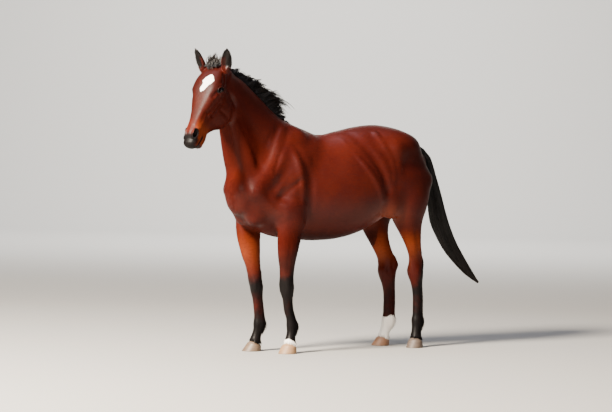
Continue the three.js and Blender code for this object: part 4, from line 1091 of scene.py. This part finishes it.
def hoof_piece(name, leg):
    long, wide = HOOF_SIZES[name[:7]]
    points, rises = [], []
    for level in range(HOOF_LEVELS + 1):
        share = level / HOOF_LEVELS
        for turn in range(HOOF_SIDES):
            around = 2 * pi * turn / HOOF_SIDES
            heel = fade(-np.cos(around), 0.35, 0.95)
            cleft = hill((around, pi, 0.16))
            top = CORONET_LEVEL + CORONET_SLOPE * CORONET_HALF[0] * np.cos(around) - HORN_UNDER
            height = share * top
            t = height / HOOF_HEIGHT
            length = long + (CORONET_HALF[0] - long) * t
            width = wide + (CORONET_HALF[1] - wide) * t
            grow = 1 - 0.014 * (1 - share) ** 8 - 0.2 * fade(share, 0.78, 1.0)
            grow -= 0.004 * (1 + sin(share * GROWTH_RINGS + 2.5 * np.cos(around))) * (1 - heel)
            grow -= heel * (0.02 + 0.05 * (share - 0.5) ** 2) + 0.10 * cleft
            u = HOOF_TOE + HOOF_LEAN * t - np.cos(around) * length * grow
            w = np.sin(around) * width * grow
            points.append((u, w, height))
            rises.append((around / (2 * pi), height / WALL_MAP))
    faces = ringed(HOOF_LEVELS + 1, HOOF_SIDES)
    faces.append(tuple(range(HOOF_SIDES))[::-1])
    faces.append(tuple(range(len(points) - HOOF_SIDES, len(points))))
    turned = radians(leg["toe_out"])
    u, w, height = np.array(points).T
    x = leg["x"](height) + u * cos(turned) + w * sin(turned)
    y = leg["side"] * (leg["y"](height) + w * cos(turned) - u * sin(turned))
    made = horn(f"hoof horn {name.replace('_', ' ')}", *HOOF_COLOURS[name])
    solid_piece(f"{name}_horn", np.stack([x, y, height], 1), faces, "wall_map", rises, made,
                f"{name}_hoof")


def horn(name, pale, dark):
    """Hoof horn: fine tubes run down it and growth rings round it, which gives a dull, banded sheen."""
    made, tree = new_material(name)
    wall = add(tree, "ShaderNodeUVMap", uv_map="wall_map")
    grain = []
    for round_it, down_it in ((1.5, 22), (90, 3)):
        drawn = add(tree, "ShaderNodeMapping", {"Vector": wall, "Scale": (round_it, down_it, 1)})
        grain.append(add(tree, "ShaderNodeTexNoise", {
            "Vector": drawn, "Scale": 1.0, "Detail": 3.0}).outputs["Fac"])
    rings, tubes = grain
    height = add(tree, "ShaderNodeSeparateXYZ", {0: wall}).outputs["Y"]
    colour = layered(tree, pale, ((rings, 0.32, 0.7, 0.7, dark), (tubes, 0.4, 0.8, 0.6, dark),
                                  (height, 0.12, 0.0, 0.45, "#4f4234")))
    bump = add(tree, "ShaderNodeBump", {"Height": rings, "Strength": 0.35, "Distance": 0.0015})
    bump = add(tree, "ShaderNodeBump", {
        "Height": tubes, "Strength": 0.2, "Distance": 0.0006, "Normal": bump})
    shader = add(tree, "ShaderNodeBsdfPrincipled", {
        "Base Color": colour, "Roughness": 0.52, "IOR": 1.54, "Normal": bump})
    add(tree, "ShaderNodeOutputMaterial", {"Surface": shader})
    return made


for name, leg in LEGS.items():
    hoof_piece(name, leg)


# -------------------------------- the mane
# Coarse black hair, some 150 mm long, that grows in a band along the crest, stands up from it, leans
# over to the right and is blown back. Single hairs are too thin to show, so each strand is a closed,
# tapered lock of about forty; the locks gather in larger wisps that part at their ends.
MANE = (
    (20, 258, 20), (90, 247, 40), (170, 236, 52), (245, 226, 92), (310, 221, 142), (400, 215, 162),
    (480, 208, 150), (590, 194, 112), (720, 162, 78), (835, 112, 58),
)  # distance along the neck, height of the crest, how far the hair stands off it
MANE_WISPS, MANE_LOCKS = 150, 15
LOCK_POINTS = 9
PATCH = 0.003  # share of the hide's map that one lock or tuft takes
chance = np.random.default_rng(17)
crest_height, mane_reach = curve(MANE, 1), curve(MANE, 2)
skin_uv = np.zeros((len(straight_points), 2))
loop_points = read(skin_mesh.loops, "vertex_index", 1, int).ravel()
skin_uv[loop_points] = read(skin_mesh.uv_layers["OFBake"].data, "uv", 2)
skin_places = KDTree(len(straight_points))
for i, place in enumerate(straight_points):
    skin_places.insert(place, i)
skin_places.balance()


def guides(name, lines, thick, tones):
    """Guide lines as one mesh of edges; lines is locks x points x 3, in straight-standing millimetres."""
    count, length = lines.shape[:2]
    mesh = bpy.data.meshes.new(name)
    first = np.arange(count)[:, None] * length + np.arange(length - 1)[None]
    edges = np.stack([first.ravel(), first.ravel() + 1], 1)
    mesh.from_pydata(placed(lines.reshape(-1, 3)), edges.tolist(), [])
    # every lock carries the map place of the hide under its root
    maps = np.repeat([skin_uv[skin_places.find(root)[1]] for root in lines[:, 0]], length, 0)
    store(mesh, "root_uv", np.column_stack([maps, np.zeros(len(maps))]), "FLOAT_VECTOR")
    store(mesh, "thick", thick / 1000)
    store(mesh, "along", np.tile(np.linspace(0, 1, length), count))
    store(mesh, "tone", np.repeat(tones, length))
    return mesh


def hair_tree(name, inputs, result, vectors, numbers):
    """A Geometry Nodes tree with its named inputs and the attributes that it reads."""
    tree = bpy.data.node_groups.new(name, "GeometryNodeTree")
    for label, kind in inputs.items():
        tree.interface.new_socket(label, in_out="INPUT", socket_type=f"NodeSocket{kind}")
    tree.interface.new_socket(result, in_out="OUTPUT", socket_type="NodeSocketGeometry")
    given = add(tree, "NodeGroupInput").outputs
    named = {label: add(tree, "GeometryNodeInputNamedAttribute", {"Name": label}, data_type=kind)
             for kind, labels in (("FLOAT_VECTOR", vectors), ("FLOAT", numbers)) for label in labels}
    return tree, given, named


def on_map(tree, hairs, place, given, named):
    """Gives each hair a small patch of the hide's map, about the place under its root."""
    for operation, other in (("SUBTRACT", {1: (0.5, 0.5, 0)}), ("SCALE", {"Scale": given["Patch"]}),
                             ("ADD", {1: named["root_uv"]})):
        place = add(tree, "ShaderNodeVectorMath", {0: place, **other}, operation=operation)
    return add(tree, "GeometryNodeStoreNamedAttribute", {"Geometry": hairs, "Name": "OFBake", "Value": place},
               data_type="FLOAT2", domain="CORNER")


def lock_tree():
    """Geometry Nodes: every guide line becomes one closed lock with as many sides as asked."""
    tree, given, named = hair_tree(
        "hair locks", {"Guides": "Geometry", "Sides": "Int", "Patch": "Float", "Hair": "Material"}, "Locks",
        ("root_uv",), ("thick", "along"))
    lines = add(tree, "GeometryNodeMeshToCurve", {"Mesh": given["Guides"]})
    ring = add(tree, "GeometryNodeCurvePrimitiveCircle", {"Resolution": given["Sides"], "Radius": 1.0})
    locks = add(tree, "GeometryNodeCurveToMesh", {
        "Curve": lines, "Profile Curve": ring, "Scale": named["thick"], "Fill Caps": True})
    count = add(tree, "ShaderNodeMath", {0: add(tree, "GeometryNodeInputIndex"), 1: given["Sides"]},
                operation="MODULO")
    across = add(tree, "ShaderNodeMath", {0: count, 1: given["Sides"]}, operation="DIVIDE")
    place = add(tree, "ShaderNodeCombineXYZ", {"X": named["along"], "Y": across})
    mapped = on_map(tree, locks, place, given, named)
    smooth = add(tree, "GeometryNodeSetShadeSmooth", {"Geometry": mapped})
    real = add(tree, "GeometryNodeRealizeInstances", {"Geometry": smooth})
    painted = add(tree, "GeometryNodeSetMaterial", {"Geometry": real, "Material": given["Hair"]})
    add(tree, "NodeGroupOutput", {"Locks": painted})
    return tree


def grown(name, source, tree, settings, spare=()):
    """Runs a tree on a mesh and keeps the result as a plain piece."""
    holder = bpy.data.objects.new(f"{name}_source", source)
    scene.collection.objects.link(holder)
    modifier = holder.modifiers.new("grow", "NODES")
    modifier.node_group = tree
    sockets = {item.name: item.identifier for item in tree.interface.items_tree}
    for label, value in settings.items():
        modifier[sockets[label]] = value
    depsgraph = bpy.context.evaluated_depsgraph_get()
    mesh = bpy.data.meshes.new_from_object(holder.evaluated_get(depsgraph), depsgraph=depsgraph)
    mesh.name = name
    holder.modifiers.remove(modifier)
    bpy.data.objects.remove(holder)
    for label in ("root_uv", "thick", "lie", "tuft_map", *spare):
        if label in mesh.attributes:
            mesh.attributes.remove(mesh.attributes[label])
    piece = bpy.data.objects.new(name, mesh)
    scene.collection.objects.link(piece)
    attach(piece, "root")
    return piece


def lock(line, tone, thick, taper, power, root):
    """One lock: its guide line, its radius from a swelling root to a fine tip, and its tone."""
    t = np.linspace(0, 1, len(line))
    radius = chance.uniform(*thick) * (1 - taper * t ** power) * fade(t, *root)
    return line, radius, np.clip(tone + chance.uniform(-0.2, 0.2), 0, 1)


def long_hair_piece(node, locks):
    """The locks of mane, forelock or tail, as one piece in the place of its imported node."""
    lines, thicks, tones = zip(*locks)
    piece = grown(f"{node}_locks", guides(node, np.array(lines), np.concatenate(thicks), tones), hair_locks,
                  {"Sides": 4, "Patch": PATCH, "Hair": long_hair})
    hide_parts(node)


# long tail and mane hair: coarse, straight and oily. It is black with a brown cast where the light
# comes through, and each lock throws one narrow streak of light across it
long_hair, tree = new_material("long horse hair")
tone = add(tree, "ShaderNodeAttribute", attribute_name="tone").outputs["Fac"]
along = add(tree, "ShaderNodeAttribute", attribute_name="along").outputs["Fac"]
colour = layered(tree, "#050404", ((tone, 0.2, 1.0, 1.0, "#0f0b0a"), (along, 0.5, 1.0, 0.45, "#21130b")))
gloss = add(tree, "ShaderNodeMapRange", {"Value": tone, "To Min": 0.34, "To Max": 0.5})
shader = add(tree, "ShaderNodeBsdfPrincipled", {
    "Base Color": colour, "Roughness": gloss, "Specular IOR Level": 0.35})
add(tree, "ShaderNodeOutputMaterial", {"Surface": shader})

hair_locks = lock_tree()
t = np.linspace(0, 1, LOCK_POINTS)
locks = []
for wisp in range(MANE_WISPS):
    place = 16 + 832 * (wisp + chance.uniform(-0.4, 0.4)) / MANE_WISPS
    reach = float(mane_reach(np.array(place))) * chance.uniform(0.66, 1.12)
    blown, falls = chance.uniform(0.35, 1.35), chance.uniform(0.05, 0.5)
    curl = chance.uniform(-9, 9)
    tone = chance.uniform(0.1, 0.9)
    for strand in range(MANE_LOCKS):
        at = place + chance.uniform(-14, 14)
        offset = chance.uniform(-17, 15)
        rise = reach * chance.uniform(0.55, 1.04)
        back = rise * blown * chance.uniform(0.8, 1.25)
        out = falls * rise * chance.uniform(0.5, 1.5) + 6
        gather = 0.55 * t ** 1.5
        up = rise * np.sin(t * 1.45) / sin(1.45)
        along = at - back * (0.30 * t + 0.70 * t ** 2.2) + (place - at) * gather
        across = offset * (1 - gather) + out * t ** 1.7 + 4 * np.sin(5 * t + strand) * t
        up = up + curl * np.sin(pi * t) * t
        root = float(crest_height(np.array(at))) - 7 - 0.012 * offset ** 2
        line = from_neck(along, across, root + up)
        locks.append(lock(line, tone, (2.2, 3.6), 0.86, 1.6, (-0.35, 0.25)))
long_hair_piece("mane", locks)


# -------------------------------- the forelock
# A short tuft of mane hair that grows between the ears. It stands straight up, frayed at its ends, and
# a few thin locks lie forwards over the top of the forehead.
FORELOCK_WISPS, FORELOCK_LOCKS = 68, 7
locks = []
for wisp in range(FORELOCK_WISPS):
    middle, start = chance.uniform(-58, 58), chance.uniform(-20, 26)
    forwards = chance.uniform(0, 1) < 0.22
    height = chance.uniform(46, 86) * (1 - (abs(middle) / 80) ** 2)
    leans, bows = chance.uniform(-0.35, 0.35), chance.uniform(-14, 14)
    tone = chance.uniform(0.1, 0.8)
    for strand in range(FORELOCK_LOCKS):
        u0, s0 = middle + chance.uniform(-9, 9), start + chance.uniform(-9, 9)
        tall = height * chance.uniform(0.6, 1.1)
        across = u0 * (1 - 0.28 * t) + (leans + chance.uniform(-0.12, 0.12)) * tall * t ** 1.4
        across = across + bows * np.sin(pi * t)
        v0 = -4 + 14 * fade(s0, 0, 40)
        if forwards:
            down = s0 + tall * 0.7 * (t ** 1.3) - 10 * t
            out = v0 + 14 * np.sin(t * pi * 0.8) + 3
        else:
            down = s0 - tall * (0.35 * t + 0.65 * np.sin(t * 1.4) / sin(1.4))
            out = v0 + (14 - v0 + bows) * t
        locks.append(lock(from_head(down, across, out), tone, (1.2, 2.3), 0.85, 1.5, (-0.35, 0.25)))
long_hair_piece("forelock", locks)


# -------------------------------- the tail
# The same coarse hair grows all round the fleshy dock and hangs behind the hocks, full in its middle and
# thin at the tip, and the wind carries it out behind.
TAIL = (
    (630, 0, 1568, 40), (705, -6, 1520, 48), (758, -12, 1440, 52), (786, -18, 1345, 54),
    (812, -22, 1240, 60), (842, -28, 1120, 70), (872, -32, 985, 80), (930, -38, 860, 74), (985, -42, 765, 66),
    (1045, -48, 690, 56), (1105, -52, 622, 46), (1180, -58, 545, 34), (1255, -62, 480, 12),
)  # x, y, z of its middle and its radius, from the dock to the tip
TAIL_FLAT = 0.75
TAIL_WISPS, TAIL_LOCKS, TAIL_POINTS = 120, 15, 13
tail_rows = [(step, *row) for step, row in zip(np.linspace(0, 1, len(TAIL)), TAIL)]
tail_x, tail_y, tail_z, tail_radius = [curve(tail_rows, c) for c in range(1, 5)]
t = np.linspace(0, 1, TAIL_POINTS)
locks = []
for wisp in range(TAIL_WISPS):
    begin = 0.42 * chance.uniform(0, 1) ** 1.6
    finish = min(1.0, begin + chance.uniform(0.50, 0.98))
    turn, off = chance.uniform(0, 2 * pi), np.sqrt(chance.uniform(0.08, 1.0))
    twist = chance.uniform(-0.5, 0.5)
    tone = chance.uniform(0.05, 0.95)
    for strand in range(TAIL_LOCKS):
        angle, share = turn + chance.uniform(-0.3, 0.3), np.clip(off + chance.uniform(-0.14, 0.1), 0.05, 1.0)
        end = min(1.0, finish - chance.uniform(0, 0.13))
        path = begin + chance.uniform(0, 0.05) + (end - begin) * t
        rooted = fade(t, 0.0, 0.22)
        keep = (0.30 + 0.66 * rooted) * share * (1 - 0.25 * (t > 0.8) * (t - 0.8) / 0.2)
        gather = 0.5 * t ** 2
        angle = angle + (turn - angle) * gather + twist * t
        radius = tail_radius(path) - 3
        slope = np.gradient(np.stack([tail_x(path), tail_z(path)], 1), axis=0)
        slope /= np.linalg.norm(slope, axis=1, keepdims=True) + 1e-9
        out = radius * keep * np.cos(angle) + 3.5 * np.sin(9 * t + wisp) * t
        aside = tail_y(path) + TAIL_FLAT * radius * keep * np.sin(angle)
        line = np.stack([tail_x(path) - slope[:, 1] * out, aside, tail_z(path) + slope[:, 0] * out], 1)
        locks.append(lock(line, tone, (2.0, 3.3), 0.84, 1.8, (-0.3, 0.1)))
long_hair_piece("tail", locks)


# -------------------------------- the coat's tufts
# The summer coat is short and lies flat, so over the body it shows as fine flat tufts; it stands off
# where it breaks the form: at the backs of cannons and fetlocks, round the hoof, in and round the ears,
# under the jaw and belly, behind the elbow and at the breast. Tufts are smallest on face and feet.
TUFT_MEASURES = ("tuft_many", "tuft_long", "tuft_wide", "tuft_lift")
belly_line = hill((y, 0, 55)) * (1 - fade(z, 840, 930)) * (np.abs(x) < 760) * (z > 700)
elbow = hill((x, -560, 90), (z, 930, 80))
breast_line = hill((y, 0, 60)) * (x < -800) * (z < 1300) * (z > 900)
jaw_line = on_head * fade(-v, 130, 190) * (1 - fade(side, 40, 80))
leg_low = on_leg * (1 - fade(z, 420, 640))
fetlock = leg_low * leg_back * hill((z, 175, 48))
cannon_back = leg_low * leg_back * (1 - fade(z, 380, 480))
coronet = on_leg * (1 - fade(z, 74, 98))
flap = on_ear * np.maximum(ear_rim, in_ear)
# length and width in millimetres, lift as a slope, number to the square metre: over the whole body,
# then what is added at each place where the coat stands off
tufts = np.array([24 - 15 * on_head - 10 * on_leg, 6.2 - 3.8 * on_head - 3.0 * on_leg, 0.03 + 0.03 * on_leg,
                  3300 + 11000 * on_head + 9000 * fade(on_leg, 0.2, 0.9)])
for place, *more in ((fetlock, 20, 0.8, 0.26, 46000), (cannon_back, 8, 0, 0.12, 16000),
                     (coronet, 18, 2.2, 0.42, 60000), (flap, 1, 0, 0.16, 50000),
                     (jaw_line, 6, 0, 0.14, 16000), (elbow + belly_line + breast_line, 4, 0, 0.08, 6000)):
    tufts += np.outer(more, place)
tuft_long, tuft_wide, tuft_lift, tuft_many = tufts
tuft_long *= 1 - 0.88 * on_ear * fade(ear_share, 0.68, 0.92)
tuft_many *= (bare < 0.2) * (black * (z < 70) < 0.5)


def tuft_tree():
    """Geometry Nodes: scatters closed, tapered blades over a hide, each laid the way the coat lies."""
    tree, given, named = hair_tree(
        "hair tufts", {"Hide": "Geometry", "Seed": "Int", "Patch": "Float", "Thickness": "Float",
                       "Spread": "Float", "Hair": "Material"}, "Tufts",
        ("OFBake", "root_uv", "lie", "tuft_map"), TUFT_MEASURES)
    # one blade, a unit long: three sides, narrow at the root, widest in the middle, its tip bent down
    blade = add(tree, "GeometryNodeMeshCone", {
        "Vertices": 3, "Side Segments": 2, "Radius Top": 0.0, "Radius Bottom": 0.5, "Depth": 1.0})
    mapped = add(tree, "GeometryNodeStoreNamedAttribute", {
        "Geometry": blade.outputs["Mesh"], "Name": "tuft_map", "Value": blade.outputs["UV Map"]},
        data_type="FLOAT2", domain="CORNER")
    where = add(tree, "GeometryNodeInputPosition")
    rise = add(tree, "ShaderNodeSeparateXYZ", {0: where}).outputs["Z"]
    swell = add(tree, "ShaderNodeMath", {0: rise, 1: 1.5, 2: 0.55}, operation="MULTIPLY_ADD")
    swollen = add(tree, "ShaderNodeVectorMath", {
        0: where, 1: add(tree, "ShaderNodeCombineXYZ", {"X": swell, "Y": swell, "Z": 1.0})},
        operation="MULTIPLY")
    fall = add(tree, "ShaderNodeMath", {0: rise, 1: rise}, operation="MULTIPLY")
    fall = add(tree, "ShaderNodeMath", {0: fall, 1: -0.9}, operation="MULTIPLY")
    shaped = add(tree, "ShaderNodeVectorMath", {
        0: swollen, 1: add(tree, "ShaderNodeCombineXYZ", {"Y": fall})}, operation="ADD")
    blade = add(tree, "GeometryNodeSetPosition", {"Geometry": mapped, "Position": shaped})
    # roots over the hide, with their place on its map and a tone of their own
    roots = add(tree, "GeometryNodeDistributePointsOnFaces", {
        "Mesh": given["Hide"], "Density": named["tuft_many"], "Seed": given["Seed"]},
        distribute_method="RANDOM")
    tone = add(tree, "FunctionNodeRandomValue", {2: 0.0, 3: 1.0, "Seed": 5}, data_type="FLOAT").outputs[1]
    kept = roots.outputs["Points"]
    for label, value, kind in (("root_uv", named["OFBake"], "FLOAT_VECTOR"), ("tone", tone, "FLOAT")):
        kept = add(tree, "GeometryNodeStoreNamedAttribute", {"Geometry": kept, "Name": label, "Value": value},
                   data_type=kind)
    kept = add(tree, "GeometryNodeRemoveAttribute", {"Geometry": kept, "Name": "OFBake"})
    # each lies the coat's way, a little astray, and lifts off the hide
    normal = roots.outputs["Normal"]
    astray = add(tree, "FunctionNodeRandomValue", {0: (-1, -1, -1), 1: (1, 1, 1), "Seed": 9},
                 data_type="FLOAT_VECTOR")
    astray = add(tree, "ShaderNodeVectorMath", {0: astray, "Scale": given["Spread"]}, operation="SCALE")
    way = add(tree, "ShaderNodeVectorMath", {0: named["lie"], 1: astray}, operation="ADD")
    sunk = add(tree, "ShaderNodeVectorMath", {0: way, 1: normal}, operation="PROJECT")
    flat = add(tree, "ShaderNodeVectorMath", {0: way, 1: sunk}, operation="SUBTRACT")
    flat = add(tree, "ShaderNodeVectorMath", {0: flat}, operation="NORMALIZE")
    lifted = add(tree, "ShaderNodeVectorMath", {0: normal, "Scale": named["tuft_lift"]}, operation="SCALE")
    lifted = add(tree, "ShaderNodeVectorMath", {0: flat, 1: lifted}, operation="ADD")
    turned = add(tree, "FunctionNodeAxesToRotation", {"Primary Axis": lifted, "Secondary Axis": normal},
                 primary_axis="Z", secondary_axis="Y")
    grow = add(tree, "FunctionNodeRandomValue", {2: 0.65, 3: 1.25, "Seed": 3}, data_type="FLOAT").outputs[1]
    length = add(tree, "ShaderNodeMath", {0: named["tuft_long"], 1: grow}, operation="MULTIPLY")
    size = add(tree, "ShaderNodeCombineXYZ", {"X": named["tuft_wide"], "Y": given["Thickness"], "Z": length})
    tufts = add(tree, "GeometryNodeInstanceOnPoints", {
        "Points": kept, "Instance": blade, "Rotation": turned, "Scale": size})
    real = add(tree, "GeometryNodeRealizeInstances", {"Geometry": tufts})
    placed_on_map = on_map(tree, real, named["tuft_map"], given, named)
    # left faceted: a blade's broad side then shades as the hide below it does
    flat = add(tree, "GeometryNodeSetShadeSmooth", {"Geometry": placed_on_map, "Shade Smooth": False})
    painted = add(tree, "GeometryNodeSetMaterial", {"Geometry": flat, "Material": given["Hair"]})
    add(tree, "NodeGroupOutput", {"Tufts": painted})
    return tree


hair_tufts = tuft_tree()
regions = {"coat_head": (neck_at > 560) | (on_head > 0.1) | (on_ear > 0.1), "coat_legs": z < 800}
regions["coat_body"] = ~(regions["coat_head"] | regions["coat_legs"])
for seed, (name, region) in enumerate(regions.items()):
    hide = skin_mesh.copy()
    measures = (tuft_many * region, tuft_long / 1000, tuft_wide / 1000, tuft_lift)
    for measure, values in zip(TUFT_MEASURES, measures):
        store(hide, measure, values)
    piece = grown(name, hide, hair_tufts, {"Seed": seed + 1, "Patch": PATCH, "Thickness": 0.0005,
                                           "Spread": 0.12, "Hair": coat}, TUFT_MEASURES)
